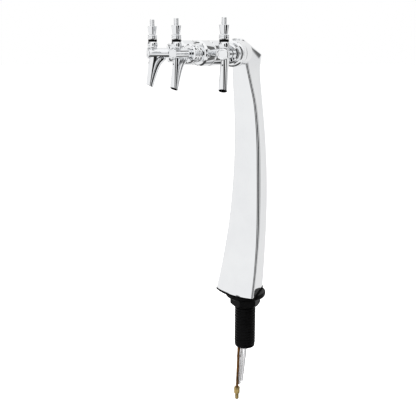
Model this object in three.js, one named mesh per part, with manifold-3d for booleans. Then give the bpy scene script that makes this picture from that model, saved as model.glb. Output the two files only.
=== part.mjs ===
/**
 * Three-tap chrome beer tower that clamps to a bar top by one hollow threaded shank.
 *
 * Units are millimetres, +Z is up and the taps face -Y. The origin is on the axis of the
 * shank, in the plane of the bar top, which is the underside of the base gasket.
 * Outlines seen from the side are given as (forward, height), with forward along -Y.
 */
import * as THREE from 'three';
import { mergeVertices } from 'three/addons/utils/BufferGeometryUtils.js';
import Module from 'manifold-3d';

const wasm = await Module();
wasm.setup();

// Driving dimensions
const GAP = 0.3; // between pieces that touch
const WALL = 3; // column casting
const TAP_ANGLES = [-29, 0, 29].map(THREE.MathUtils.degToRad);
const TAP_REACH = 204; // column axis to the lever axis
const TAP_AXIS_HEIGHT = 527;

const GASKET_THICKNESS = 3;
const GASKET_OVERHANG = 1.2;
const RIM_HEIGHT = GASKET_THICKNESS + GAP;
const PLATE_THICKNESS = 6.5;
const PLATE_BOTTOM = RIM_HEIGHT + GAP;
const PLATE_TOP = PLATE_BOTTOM + PLATE_THICKNESS;

const SHANK_RADIUS = 23.9;
const SHANK_BORE_RADIUS = 18.8;
const SHANK_LENGTH = 136; // below the bar top
const SHANK_FLANGE_RADIUS = 26.8;
const SHANK_FLANGE_THICKNESS = 4;
const CLAMP_WASHER_RADIUS = 45.5;
const CLAMP_WASHER_THICKNESS = 13;
const CLAMP_NUT_ACROSS_FLATS = 61;
const CLAMP_NUT_HEIGHT = 20;
const CLAMP_NUT_TURN = THREE.MathUtils.degToRad(21);
const SHANK_CLEARANCE = 0.5; // around the crests of the shank's thread

// Column stations from the rim to the crown
const COLUMN_STATIONS = [
  { front: [38.4, RIM_HEIGHT], back: [-45.5, RIM_HEIGHT], halfWidth: 55.7 },
  { front: [33, 26.2], back: [-47.7, 26.2], halfWidth: 54.3 },
  { front: [23.6, 69.9], back: [-51.6, 69.9], halfWidth: 51.7 },
  { front: [12.6, 139.7], back: [-56.3, 139.7], halfWidth: 47.6 },
  { front: [6.8, 209.6], back: [-58.1, 209.6], halfWidth: 43.2 },
  { front: [4.4, 279.5], back: [-55.8, 279.5], halfWidth: 39.6 },
  { front: [5.1, 349.3], back: [-49.1, 349.3], halfWidth: 36.6 },
  { front: [12, 419.2], back: [-39.5, 419.2], halfWidth: 32.6 },
  { front: [22.9, 471.6], back: [-33.4, 469.4], halfWidth: 26.3 },
  { front: [28.1, 497.8], back: [-32.4, 491.3], halfWidth: 22.6 },
  { front: [32.7, 526.2], back: [-34.3, 507.6], halfWidth: 19.5 },
  { front: [36.7, 552.4], back: [-37.3, 520.7], halfWidth: 17 },
];
const COLUMN_STEPS = 16;
const BACK_TO_FRONT_WIDTH = 0.24;
const FRONT_BOW = 0.25; // rise of the bowed front, as a share of its half width
const FRONT_CORNER_RADIUS = 10;
const BACK_CORNER_RADIUS = 5.5;
const CROWN_RISE = 3;
const CROWN_INSET = 4;
const HOLLOW_TOP_SHARE = 0.955; // of the column's length
const LOOP_TOP_SHARE = 0.66;
const LINE_TOP_SHARE = 0.7;

// Hub arms, as distances along an arm from the column axis
const ARM_START = 24;
const ARM_SHOULDER = 62;
const ARM_GROOVE = 124;
const ARM_END = TAP_REACH - 55;
const ARM_START_RADIUS = 17;
const ARM_RADIUS = 24.4;
const ARM_GROOVE_DEPTH = 1.4;
const ARM_GROOVE_WIDTH = 2.4;
const ARM_BORE_RADIUS = 11.3;
const HUB_WINDOW_RADIUS = 16;

// Base screws
const SCREW_PLACES = [[-36, -23], [36, -23], [0, 34]];
const SCREW_RADIUS = 1.6;
const SCREW_HEAD_RADIUS = 3.2;
const SCREW_LENGTH = 16;
const BOSS_RADIUS = 5;
const BOSS_HEIGHT = 18;
const BOSS_RIB_LENGTH = 20;
const BOSS_RIB_WIDTH = 5;

// Tap, seen from the lever axis at the height of the barrel axis
const BARREL_RADIUS = 9.3;
const BARREL_FRONT = 8;
const BARREL_BACK = -35.5;
const BARREL_BORE_RADIUS = 6.6;
const BARREL_FLANGE_RADIUS = 14.2;
const BARREL_FLANGE_THICKNESS = 3;
const CAP_BORE_RADIUS = 4.3; // behind the front cap
const CAP_BORE_BACK = 2.5;
const BOSS_BORE_RADIUS = 6; // under the bonnet
const FRONT_CAP_RADIUS = 10.4;
const BOSS_TOP = 10.5;
const SPOUT_WALL = 1.7;
const SPOUT_STATIONS = [
  { front: [14.4, -62], back: [0.8, -67.7], halfWidth: 7.9 },
  { front: [12.4, -46], back: [-5.6, -48], halfWidth: 7.7 },
  { front: [10.7, -32], back: [-11.5, -33], halfWidth: 7.4 },
  { front: [9.5, -22], back: [-18, -21], halfWidth: 7.2 },
  { front: [8, -13], back: [-26, -13], halfWidth: 7 },
  { front: [6.4, -3], back: [-29, -4], halfWidth: 6.6 },
];
const SPOUT_STEPS = 8;
const SPOUT_SIDES = 12;
const VENT_RADIUS = 1.5;
const VENT_DROP = -19;

const PIVOT_HEIGHT = 16; // ball centre above the barrel axis
const DOME_RADIUS = 10.4;
const BONNET_FOOT_RADIUS = 9;
const BONNET_BORE_RADIUS = 5.6;
const BALL_RADIUS = 6.3;
const STEM_RADIUS = 3;
const TAIL_RADIUS = 2.4; // round end of the lever below the ball
const TAIL_NECK_RADIUS = 1.3;
const STUD_RADIUS = 4.75;
const STUD_TOP = 64.7;
const LEVER_SWING = 0.45; // radians, forward from upright
const SLOT_REACH = 16; // from the pivot, past the bonnet's dome
const RING_TOP = 26.7;
const RING_RADIUS = 8.5;
const COLLAR_TOP = 35.1;
const COLLAR_RADIUS = 9.25;
const FERRULE_TOP = 51.7;
const FERRULE_BOTTOM_RADIUS = 7;
const FERRULE_TOP_RADIUS = 9.4;

const COUPLING_NUT_RADIUS = 18;
const COUPLING_NUT_FRONT = -30.5;
const COUPLING_NUT_BACK = -43;
const TAP_SHANK_COLLAR_RADIUS = 17;
const TAP_SHANK_RADIUS = 11;
const TAP_SHANK_BACK = -70;
const VALVE_CAVITY_BACK = -50;
const VALVE_CAVITY_RADIUS = 9.4;
const VALVE_GUIDE_RADIUS = 3.9; // shaft inside the barrel
const VALVE_GUIDE_FRONT = 6.5;
const VALVE_STEM_RADIUS = 2.5; // shaft through the seat washer
const VALVE_HEAD_RADIUS = 5.5;
const VALVE_HEAD_THICKNESS = 2;
const SEAT_WASHER_RADIUS = 8.4;
const SEAT_WASHER_THICKNESS = 3.3;

const LINE_RADIUS = 3;
const COOLING_RADIUS = 3.2;
const UNION_NUT_RADIUS = 7.4; // over the corners
const UNION_NUT_HEIGHT = 17;
const UNION_NOSE_RADIUS = 4.6;
const UNION_NOSE_LENGTH = 14;

const chrome = { color: 0xd9dcdf, roughness: 0.06, metalness: 1 };
const blackNylon = { color: 0x151515, roughness: 0.55, metalness: 0 };
const blackRubber = { color: 0x0e0e0e, roughness: 0.8, metalness: 0 };
const stainless = { color: 0xa9abad, roughness: 0.28, metalness: 1 };
const copper = { color: 0x6d3a1c, roughness: 0.4, metalness: 1 };
const brass = { color: 0xb08a3c, roughness: 0.3, metalness: 1 };
const zinc = { color: 0x8f9296, roughness: 0.45, metalness: 1 };

/** Makes a named mesh with a material of its own. */
function piece(name, geometry, finish) {
  const mesh = new THREE.Mesh(geometry, new THREE.MeshStandardMaterial(finish));
  mesh.name = name;
  return mesh;
}

/** Turns a profile of (radius, height) pairs about Z. */
function turned(profile, segments = 18) {
  const points = profile.map(([radius, height]) => new THREE.Vector2(radius, height));
  return new THREE.LatheGeometry(points, segments).rotateX(Math.PI / 2);
}

/** Turns a profile of (radius, forward) pairs about the line that runs forward along -Y. */
function turnedForward(profile, segments = 18) {
  const points = profile.map(([radius, forward]) => new THREE.Vector2(radius, forward));
  return new THREE.LatheGeometry(points, segments).rotateX(Math.PI);
}

/** Profile of a plain ring between two radii and two heights. */
function ringProfile(inner, outer, bottom, top) {
  return [[inner, bottom], [outer, bottom], [outer, top], [inner, top], [inner, bottom]];
}

/** Profile of a plain rod between two heights. */
function rodProfile(radius, bottom, top) {
  return [[0, bottom], [radius, bottom], [radius, top], [0, top]];
}

/** Merges a geometry's corners and hands it to the boolean library. */
function solid(geometry) {
  const bare = geometry.clone();
  bare.deleteAttribute('normal');
  bare.deleteAttribute('uv');
  const merged = mergeVertices(bare, 1e-3);
  const corners = merged.index.array;
  const triangles = [];
  for (let i = 0; i < corners.length; i += 3) {
    const [a, b, c] = [corners[i], corners[i + 1], corners[i + 2]];
    if (a !== b && b !== c && c !== a) {
      triangles.push(a, b, c);
    }
  }
  const mesh = new wasm.Mesh({
    numProp: 3,
    vertProperties: merged.attributes.position.array,
    triVerts: Uint32Array.from(triangles),
  });
  return new wasm.Manifold(mesh);
}

/** Brings a solid back as a three.js geometry. */
function geometryOf(body) {
  const mesh = body.getMesh();
  const geometry = new THREE.BufferGeometry();
  geometry.setAttribute('position', new THREE.BufferAttribute(Float32Array.from(mesh.vertProperties), 3));
  geometry.setIndex(new THREE.BufferAttribute(Uint32Array.from(mesh.triVerts), 1));
  const flat = geometry.toNonIndexed();
  flat.computeVertexNormals();
  return flat;
}

/** Joins some geometries and takes others away, and returns the geometry that is left. */
function carve(joined, removed) {
  let body = solid(joined[0]);
  for (const geometry of joined.slice(1)) {
    body = body.add(solid(geometry));
  }
  for (const geometry of removed) {
    body = body.subtract(solid(geometry));
  }
  return geometryOf(body);
}

/** Skins a stack of slices, listed upwards, each with the same number of corners in turn. */
function loft(slices) {
  const count = slices[0].length;
  const step = (2 * Math.PI) / count;
  const ring = [];
  for (let k = 0; k < count; k += 1) {
    ring.push(new THREE.Vector2(Math.cos(k * step), Math.sin(k * step)));
  }
  const layers = slices.length - 1;
  const options = { depth: layers, steps: layers, bevelEnabled: false };
  const prism = new THREE.ExtrudeGeometry(new THREE.Shape(ring), options);
  const position = prism.attributes.position;
  for (let i = 0; i < position.count; i += 1) {
    const turn = Math.round(Math.atan2(position.getY(i), position.getX(i)) / step);
    const corner = slices[Math.round(position.getZ(i))][(turn + count) % count];
    position.setXYZ(i, corner.x, corner.y, corner.z);
  }
  return prism;
}

/** Reads the front edge, back edge and half width of a tapered body at a share of its length. */
function stationReader(stations) {
  const front = new THREE.SplineCurve(stations.map((s) => new THREE.Vector2(...s.front)));
  const back = new THREE.SplineCurve(stations.map((s) => new THREE.Vector2(...s.back)));
  const width = new THREE.SplineCurve(stations.map((s, i) => new THREE.Vector2(i, s.halfWidth)));
  return (share) => ({
    front: front.getPoint(share),
    back: back.getPoint(share),
    halfWidth: width.getPoint(share).y,
  });
}

/** Places a point of a slice, given across the part and back from the slice's front edge. */
function onSlice(station, across, behind) {
  const share = behind / station.front.distanceTo(station.back);
  const place = station.front.clone().lerp(station.back, share);
  return new THREE.Vector3(across, -place.x, place.y);
}

const columnStation = stationReader(COLUMN_STATIONS);
const spoutStation = stationReader(SPOUT_STATIONS);

/** Outline of the column in one slice: a trapezoid with a bowed front and rounded corners. */
function columnOutline(station, inset) {
  const near = inset;
  const far = station.front.distanceTo(station.back) - inset;
  const wide = station.halfWidth - inset;
  const narrow = station.halfWidth * BACK_TO_FRONT_WIDTH - inset * 0.8;
  const bow = wide * FRONT_BOW;
  const frontRadius = Math.max(FRONT_CORNER_RADIUS - inset, 2);
  const backRadius = Math.max(BACK_CORNER_RADIUS - inset, 1.5);
  const frontCorner = new THREE.Vector2(wide, near);
  const backCorner = new THREE.Vector2(narrow, far);
  const alongSide = backCorner.clone().sub(frontCorner).normalize();
  const sideStart = frontCorner.clone().addScaledVector(alongSide, frontRadius);
  const sideEnd = backCorner.clone().addScaledVector(alongSide, -backRadius);
  const reach = wide - frontRadius;
  const bend = (bow * reach * reach) / (wide * wide);
  const frontEnd = near - bow + bend;
  const outline = new THREE.Shape();
  outline.moveTo(-reach, frontEnd);
  outline.quadraticCurveTo(0, near - bow - bend, reach, frontEnd);
  outline.quadraticCurveTo(wide, near, sideStart.x, sideStart.y);
  outline.lineTo(sideEnd.x, sideEnd.y);
  outline.quadraticCurveTo(narrow, far, narrow - backRadius, far);
  outline.lineTo(backRadius - narrow, far);
  outline.quadraticCurveTo(-narrow, far, -sideEnd.x, sideEnd.y);
  outline.lineTo(-sideStart.x, sideStart.y);
  outline.quadraticCurveTo(-wide, near, -reach, frontEnd);
  return outline;
}

/** Corners of one column slice in space. */
function columnSlice(share, inset) {
  const station = columnStation(share);
  const corners = columnOutline(station, inset).getPoints(4);
  corners.pop();
  return corners.map((corner) => onSlice(station, corner.x, corner.y));
}

/** The whole column as a closed body, grown or shrunk by an inset, up to a share of its length. */
function columnBody(inset, topShare) {
  const slices = [];
  for (let i = 0; i <= COLUMN_STEPS; i += 1) {
    slices.push(columnSlice((topShare * i) / COLUMN_STEPS, inset));
  }
  return slices;
}

/** The column's outer body, with its domed crown. */
function columnOuter(growth) {
  const slices = columnBody(-growth, 1);
  const crown = columnSlice(1, CROWN_INSET - growth);
  crown.forEach((corner) => {
    corner.z += CROWN_RISE + growth;
  });
  slices.push(crown);
  return loft(slices);
}

/** The column's hollow, open below the rim. */
function columnHollow() {
  const slices = columnBody(WALL, HOLLOW_TOP_SHARE);
  const below = slices[0].map((corner) => corner.clone().setZ(corner.z - 1));
  return loft([below, ...slices]);
}

/** A horizontal rod along an arm, between two distances from the column axis. */
function armRod(profile, angle, segments = 24) {
  return turnedForward(profile, segments).rotateZ(angle).translate(0, 0, TAP_AXIS_HEIGHT);
}

/** Hollow cast column with three screw bosses at its foot and a window behind the hub. */
function columnShell() {
  const outer = solid(columnOuter(0));
  const window = armRod(rodProfile(HUB_WINDOW_RADIUS, 12, 60), 0);
  let shell = outer.subtract(solid(columnHollow())).subtract(solid(window));
  for (const [x, y] of SCREW_PLACES) {
    const bottom = PLATE_TOP + GAP;
    const boss = turned(rodProfile(BOSS_RADIUS, bottom, bottom + BOSS_HEIGHT), 12).translate(x, y, 0);
    const rib = new THREE.BoxGeometry(BOSS_RIB_LENGTH, BOSS_RIB_WIDTH, BOSS_HEIGHT)
      .translate(BOSS_RIB_LENGTH / 2, 0, bottom + BOSS_HEIGHT / 2)
      .rotateZ(Math.atan2(y, x))
      .translate(x, y, 0);
    const hole = turned(rodProfile(SCREW_RADIUS + GAP, 0, bottom + SCREW_LENGTH), 10).translate(x, y, 0);
    shell = shell.add(solid(boss).add(solid(rib)).intersect(outer)).subtract(solid(hole));
  }
  return piece('column_shell', geometryOf(shell), chrome);
}

/** Hub casting: three tapered arms that fan out from the column's head, each with a bore. */
function threeWayHub() {
  const grooveRadius = ARM_RADIUS - ARM_GROOVE_DEPTH;
  const cone = [
    [0, ARM_START],
    [ARM_START_RADIUS, ARM_START],
    [ARM_RADIUS, ARM_SHOULDER],
    [ARM_RADIUS, ARM_GROOVE - ARM_GROOVE_WIDTH],
    [grooveRadius, ARM_GROOVE - ARM_GROOVE_WIDTH],
    [grooveRadius, ARM_GROOVE],
    [ARM_RADIUS, ARM_GROOVE],
    [ARM_RADIUS, ARM_END - 2],
    [ARM_RADIUS - 2, ARM_END],
    [0, ARM_END],
  ];
  const bore = rodProfile(ARM_BORE_RADIUS, 1, ARM_END + 5);
  const arms = TAP_ANGLES.map((angle) => armRod(cone, angle, 24));
  const bores = TAP_ANGLES.map((angle) => armRod(bore, angle, 14));
  return piece('three_way_hub', carve(arms, [columnOuter(GAP), ...bores]), chrome);
}

/** Rubber gasket in the shape of the column's foot. */
function baseGasket() {
  const outline = footOutline(-GASKET_OVERHANG);
  outline.holes.push(circle(SHANK_RADIUS + SHANK_CLEARANCE));
  const options = { depth: GASKET_THICKNESS, bevelEnabled: false };
  return piece('base_gasket', new THREE.ExtrudeGeometry(outline, options), blackRubber);
}

/** Outline of the column's foot in plan. */
function footOutline(inset) {
  const station = columnStation(0);
  const corners = columnOutline(station, inset).getPoints(4);
  corners.pop();
  return new THREE.Shape(corners.map((corner) => new THREE.Vector2(corner.x, corner.y - station.front.x)));
}

/** A full circle about the origin. */
function circle(radius) {
  return new THREE.Shape().absarc(0, 0, radius, 0, 2 * Math.PI);
}

/** Steel plate inside the foot, which the shank passes through. */
function basePlate() {
  const outline = footOutline(WALL + 1.9);
  const options = { depth: PLATE_THICKNESS, bevelEnabled: false };
  const plate = new THREE.ExtrudeGeometry(outline, options).translate(0, 0, PLATE_BOTTOM);
  const shankHole = turned(rodProfile(SHANK_RADIUS + SHANK_CLEARANCE, -5, 20), 24);
  const screwHoles = SCREW_PLACES.map(([x, y]) => {
    const head = PLATE_BOTTOM + 3;
    const wide = SCREW_HEAD_RADIUS + GAP;
    const slim = SCREW_RADIUS + GAP;
    return turned([[0, 0], [wide, 0], [wide, head + GAP], [slim, head + GAP], [slim, 20], [0, 20]], 12)
      .translate(x, y, 0);
  });
  return piece('base_plate', carve([plate], [shankHole, ...screwHoles]), zinc);
}

/** One cheese-head screw that holds the base plate to a boss of the column. */
function baseScrew(index) {
  const [x, y] = SCREW_PLACES[index];
  const head = PLATE_BOTTOM + 3;
  const tip = PLATE_TOP + SCREW_LENGTH - 2;
  const profile = [
    [0, PLATE_BOTTOM],
    [SCREW_HEAD_RADIUS, PLATE_BOTTOM],
    [SCREW_HEAD_RADIUS, head],
    [SCREW_RADIUS, head],
    [SCREW_RADIUS, tip - 1],
    [SCREW_RADIUS / 2, tip],
    [0, tip],
  ];
  const mesh = piece(`base_screw_${index + 1}`, turned(profile, 10), zinc);
  mesh.position.set(x, y, 0);
  return mesh;
}

/** Hollow threaded shank, hung by its flange from the base plate. */
function threadedShank() {
  const flange = PLATE_TOP + GAP;
  const top = flange + SHANK_FLANGE_THICKNESS;
  const profile = [
    [SHANK_BORE_RADIUS, -SHANK_LENGTH],
    [SHANK_RADIUS - 2.6, -SHANK_LENGTH],
    [SHANK_RADIUS - 0.8, -SHANK_LENGTH + 2.5],
    [SHANK_RADIUS, -SHANK_LENGTH + 6],
    [SHANK_RADIUS, flange],
    [SHANK_FLANGE_RADIUS, flange],
    [SHANK_FLANGE_RADIUS, top],
    [SHANK_BORE_RADIUS, top],
    [SHANK_BORE_RADIUS, -SHANK_LENGTH],
  ];
  return piece('threaded_shank', turned(profile, 24), blackNylon);
}

/** Thick washer that presses on the underside of the bar top. */
function clampWasher() {
  const top = -GAP;
  const bottom = top - CLAMP_WASHER_THICKNESS;
  const bore = SHANK_RADIUS + SHANK_CLEARANCE;
  const profile = [
    [bore, bottom],
    [CLAMP_WASHER_RADIUS - 5, bottom],
    [CLAMP_WASHER_RADIUS - 1.5, bottom + 3],
    [CLAMP_WASHER_RADIUS, bottom + 7],
    [CLAMP_WASHER_RADIUS, top - 1],
    [CLAMP_WASHER_RADIUS - 1, top],
    [bore, top],
    [bore, bottom],
  ];
  return piece('clamp_washer', turned(profile, 24), blackNylon);
}

/** Hexagon nut under the clamp washer, with chamfered corners. */
function clampNut() {
  const top = -2 * GAP - CLAMP_WASHER_THICKNESS;
  const bottom = top - CLAMP_NUT_HEIGHT;
  const across = CLAMP_NUT_ACROSS_FLATS / 2;
  const corner = across / Math.cos(Math.PI / 6);
  const hexagon = new THREE.CylinderGeometry(corner, corner, CLAMP_NUT_HEIGHT, 6)
    .rotateX(Math.PI / 2)
    .rotateZ(CLAMP_NUT_TURN)
    .translate(0, 0, (top + bottom) / 2);
  const chamfer = turned([
    [0, bottom],
    [across - 1, bottom],
    [corner + 0.5, bottom + 4],
    [corner + 0.5, top - 2.5],
    [across + 1, top],
    [0, top],
  ], 24);
  const hole = turned(rodProfile(SHANK_RADIUS + SHANK_CLEARANCE, bottom - 5, top + 5), 24);
  const nut = solid(hexagon).intersect(solid(chamfer)).subtract(solid(hole));
  return piece('clamp_nut', geometryOf(nut), blackNylon);
}

/** Oval slices of the spout, shrunk by an inset and run out past its mouth by an overrun. */
function spoutBody(inset, overrun) {
  const slices = [];
  for (let i = 0; i <= SPOUT_STEPS; i += 1) {
    const station = spoutStation(i / SPOUT_STEPS);
    const half = station.front.distanceTo(station.back) / 2;
    const slice = [];
    for (let k = 0; k < SPOUT_SIDES; k += 1) {
      const turn = (2 * Math.PI * k) / SPOUT_SIDES;
      const across = (station.halfWidth - inset) * Math.sin(turn);
      slice.push(onSlice(station, across, half - (half - inset) * Math.cos(turn)));
    }
    slices.push(slice);
  }
  if (overrun > 0) {
    const outward = slices[0].map((corner, k) => corner.clone().sub(slices[1][k]).normalize());
    slices.unshift(slices[0].map((corner, k) => corner.clone().addScaledVector(outward[k], overrun)));
  }
  return loft(slices);
}

/** Tap body: barrel with a back flange, boss for the bonnet, hollow spout and a vent hole. */
function tapBody(number) {
  const flangeFront = BARREL_BACK + BARREL_FLANGE_THICKNESS;
  const barrel = turnedForward([
    [0, BARREL_BACK],
    [BARREL_FLANGE_RADIUS, BARREL_BACK],
    [BARREL_FLANGE_RADIUS, flangeFront],
    [BARREL_RADIUS, flangeFront],
    [BARREL_RADIUS, BARREL_FRONT],
    [0, BARREL_FRONT],
  ]);
  const boss = turned(rodProfile(BARREL_RADIUS + 0.2, 0, BOSS_TOP));
  const bore = turnedForward([
    [0, BARREL_BACK - 5],
    [BARREL_BORE_RADIUS, BARREL_BACK - 5],
    [BARREL_BORE_RADIUS, CAP_BORE_BACK],
    [CAP_BORE_RADIUS, CAP_BORE_BACK],
    [CAP_BORE_RADIUS, BARREL_FRONT + 5],
    [0, BARREL_FRONT + 5],
  ], 12);
  const bossBore = turned(rodProfile(BOSS_BORE_RADIUS, 0, BOSS_TOP + 5), 12);
  const capSpace = turnedForward(rodProfile(FRONT_CAP_RADIUS + GAP, BARREL_FRONT, BARREL_FRONT + 8));
  const vent = turnedForward(rodProfile(VENT_RADIUS, 4, 15), 8).translate(0, 0, VENT_DROP);
  const geometry = carve(
    [barrel, boss, spoutBody(0, 0)],
    [capSpace, bore, bossBore, spoutBody(SPOUT_WALL, 1.5), vent],
  );
  return piece(`tap_body_${number}`, geometry, chrome);
}

/** Round cap that closes the front of the barrel. */
function frontCap(number) {
  const back = BARREL_FRONT + GAP;
  const profile = [
    [0, back],
    [FRONT_CAP_RADIUS, back],
    [FRONT_CAP_RADIUS, back + 1.6],
    [FRONT_CAP_RADIUS - 1, back + 2.4],
    [4, back + 2.9],
    [0, back + 3],
  ];
  return piece(`front_cap_${number}`, turnedForward(profile), chrome);
}

/** Arc of a profile about the pivot, from one radius to another, as (radius, height) pairs. */
function pivotArc(sphereRadius, from, to, count) {
  const pairs = [];
  for (let i = 0; i <= count; i += 1) {
    const angle = THREE.MathUtils.lerp(from, to, i / count);
    pairs.push([sphereRadius * Math.cos(angle), PIVOT_HEIGHT + sphereRadius * Math.sin(angle)]);
  }
  return pairs;
}

/** Angle above the pivot's level at which a sphere about the pivot has a given radius. */
function pivotAngle(sphereRadius, radius) {
  return Math.acos(radius / sphereRadius);
}

/** Domed bonnet that holds the lever's ball, with a slot that lets the stem swing forward. */
function bonnet(number) {
  const bottom = BOSS_TOP + GAP;
  const bottomAngle = -pivotAngle(DOME_RADIUS, BONNET_FOOT_RADIUS);
  const mouth = STEM_RADIUS + 0.5;
  const cup = BALL_RADIUS + GAP;
  const dome = turned([
    [BONNET_BORE_RADIUS, bottom],
    [BONNET_FOOT_RADIUS, bottom],
    ...pivotArc(DOME_RADIUS, bottomAngle, pivotAngle(DOME_RADIUS, mouth), 6),
    ...pivotArc(cup, pivotAngle(cup, mouth), -pivotAngle(cup, BONNET_BORE_RADIUS), 4),
    [BONNET_BORE_RADIUS, bottom],
  ], 16);
  const side = mouth + 0.2;
  const slot = new THREE.Shape();
  slot.moveTo(0, PIVOT_HEIGHT);
  slot.lineTo(-side * Math.cos(LEVER_SWING), PIVOT_HEIGHT - side * Math.sin(LEVER_SWING));
  slot.lineTo(
    -side * Math.cos(LEVER_SWING) - SLOT_REACH * Math.sin(LEVER_SWING),
    PIVOT_HEIGHT - side * Math.sin(LEVER_SWING) + SLOT_REACH * Math.cos(LEVER_SWING),
  );
  slot.lineTo(0, PIVOT_HEIGHT + SLOT_REACH);
  const width = 2 * mouth;
  const cut = new THREE.ExtrudeGeometry(slot, { depth: width, bevelEnabled: false })
    .rotateX(Math.PI / 2)
    .rotateZ(Math.PI / 2)
    .translate(-width / 2, 0, 0);
  return piece(`bonnet_${number}`, carve([dome], [cut]), chrome);
}

/** Lever: tail that works the valve, ball, stem and the threaded stud for a handle. */
function lever(number) {
  const tail = [];
  for (let i = 0; i <= 4; i += 1) {
    const angle = THREE.MathUtils.lerp(-Math.PI / 2, 0.9, i / 4);
    tail.push([TAIL_RADIUS * Math.cos(angle), TAIL_RADIUS * Math.sin(angle)]);
  }
  tail[0][0] = 0;
  const profile = [
    ...tail,
    [TAIL_NECK_RADIUS, 3],
    ...pivotArc(BALL_RADIUS, -pivotAngle(BALL_RADIUS, TAIL_NECK_RADIUS), pivotAngle(BALL_RADIUS, STEM_RADIUS), 6),
    [STEM_RADIUS, RING_TOP],
    [STUD_RADIUS, RING_TOP + GAP],
    [STUD_RADIUS, STUD_TOP - 1],
    [STUD_RADIUS - 1, STUD_TOP],
    [0, STUD_TOP],
  ];
  return piece(`lever_${number}`, turned(profile, 12), chrome);
}

/** Black friction ring, cupped to slide over the bonnet. */
function frictionRing(number) {
  const cup = DOME_RADIUS + GAP;
  const inner = STEM_RADIUS + GAP;
  const profile = [
    ...pivotArc(cup, pivotAngle(cup, inner), pivotAngle(cup, RING_RADIUS), 4),
    [RING_RADIUS, RING_TOP - GAP],
    [inner, RING_TOP - GAP],
    [inner, PIVOT_HEIGHT + cup * Math.sin(pivotAngle(cup, inner))],
  ];
  return piece(`friction_ring_${number}`, turned(profile, 16), blackNylon);
}

/** Collar that is screwed down the stud onto the friction ring. */
function leverCollar(number) {
  const bottom = RING_TOP + 2 * GAP;
  const inner = STUD_RADIUS + GAP;
  const profile = [
    [inner, bottom],
    [COLLAR_RADIUS - 0.8, bottom],
    [COLLAR_RADIUS, bottom + 1],
    [COLLAR_RADIUS, COLLAR_TOP - 1.2],
    [COLLAR_RADIUS - 1.2, COLLAR_TOP],
    [inner, COLLAR_TOP],
    [inner, bottom],
  ];
  return piece(`lever_collar_${number}`, turned(profile, 16), chrome);
}

/** Flared ferrule that a tap handle sits on. */
function ferrule(number) {
  const bottom = COLLAR_TOP + GAP;
  const inner = STUD_RADIUS + GAP;
  const profile = [
    [inner, bottom],
    [FERRULE_BOTTOM_RADIUS, bottom],
    [FERRULE_TOP_RADIUS, FERRULE_TOP],
    [inner, FERRULE_TOP],
    [inner, bottom],
  ];
  return piece(`ferrule_${number}`, turned(profile, 16), chrome);
}

/** Valve shaft, with a window for the lever's tail and a head that carries the seat washer. */
function valveShaft(number) {
  const seat = BARREL_BACK - GAP;
  const headFront = seat - SEAT_WASHER_THICKNESS - GAP;
  const headBack = headFront - VALVE_HEAD_THICKNESS;
  const shoulder = seat + 2 * GAP;
  const shaft = turnedForward([
    [0, headBack],
    [VALVE_HEAD_RADIUS, headBack],
    [VALVE_HEAD_RADIUS, headFront],
    [VALVE_STEM_RADIUS, headFront],
    [VALVE_STEM_RADIUS, shoulder],
    [VALVE_GUIDE_RADIUS, shoulder],
    [VALVE_GUIDE_RADIUS, VALVE_GUIDE_FRONT],
    [0, VALVE_GUIDE_FRONT],
  ], 14);
  const window = new THREE.BoxGeometry(5.4, 6.4, 12).translate(0, -0.4, 0);
  return piece(`valve_shaft_${number}`, carve([shaft], [window]), stainless);
}

/** Rubber washer that closes the back of the barrel. */
function seatWasher(number) {
  const seat = BARREL_BACK - GAP;
  const profile = ringProfile(VALVE_STEM_RADIUS + GAP, SEAT_WASHER_RADIUS, seat - SEAT_WASHER_THICKNESS, seat);
  return piece(`seat_washer_${number}`, turnedForward(profile, 16), blackRubber);
}

/** Coupling nut with four spanner notches, which draws the tap body onto its shank. */
function couplingNut(number) {
  const lip = COUPLING_NUT_FRONT - 1.7;
  const ring = turnedForward([
    [BARREL_FLANGE_RADIUS + GAP, COUPLING_NUT_BACK],
    [COUPLING_NUT_RADIUS - 0.8, COUPLING_NUT_BACK],
    [COUPLING_NUT_RADIUS, COUPLING_NUT_BACK + 0.8],
    [COUPLING_NUT_RADIUS, COUPLING_NUT_FRONT - 1.5],
    [COUPLING_NUT_RADIUS - 1.5, COUPLING_NUT_FRONT],
    [BARREL_RADIUS + GAP, COUPLING_NUT_FRONT],
    [BARREL_RADIUS + GAP, lip],
    [BARREL_FLANGE_RADIUS + GAP, lip],
    [BARREL_FLANGE_RADIUS + GAP, COUPLING_NUT_BACK],
  ]);
  const middle = (COUPLING_NUT_FRONT + COUPLING_NUT_BACK) / 2;
  const notches = [0, 1, 2, 3].map((i) => new THREE.BoxGeometry(5, 6, 4)
    .translate(0, -middle, COUPLING_NUT_RADIUS + 0.6)
    .rotateY((i * Math.PI) / 2 + Math.PI / 4));
  return piece(`coupling_nut_${number}`, carve([ring], notches), chrome);
}

/** Tap shank: nose inside the coupling nut, collar against the arm, and a tail in its bore. */
function tapShank(number) {
  const nose = BARREL_BACK - 2 * GAP;
  const collarFront = COUPLING_NUT_BACK - GAP;
  const collarBack = ARM_END - TAP_REACH + GAP;
  const profile = [
    [LINE_RADIUS, TAP_SHANK_BACK],
    [TAP_SHANK_RADIUS, TAP_SHANK_BACK],
    [TAP_SHANK_RADIUS, collarBack],
    [TAP_SHANK_COLLAR_RADIUS, collarBack],
    [TAP_SHANK_COLLAR_RADIUS, collarFront - 1],
    [TAP_SHANK_COLLAR_RADIUS - 1, collarFront],
    [BARREL_FLANGE_RADIUS, collarFront],
    [BARREL_FLANGE_RADIUS, nose],
    [VALVE_CAVITY_RADIUS, nose],
    [VALVE_CAVITY_RADIUS, VALVE_CAVITY_BACK],
    [LINE_RADIUS, VALVE_CAVITY_BACK],
    [LINE_RADIUS, TAP_SHANK_BACK],
  ];
  return piece(`tap_shank_${number}`, turnedForward(profile), chrome);
}

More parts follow.
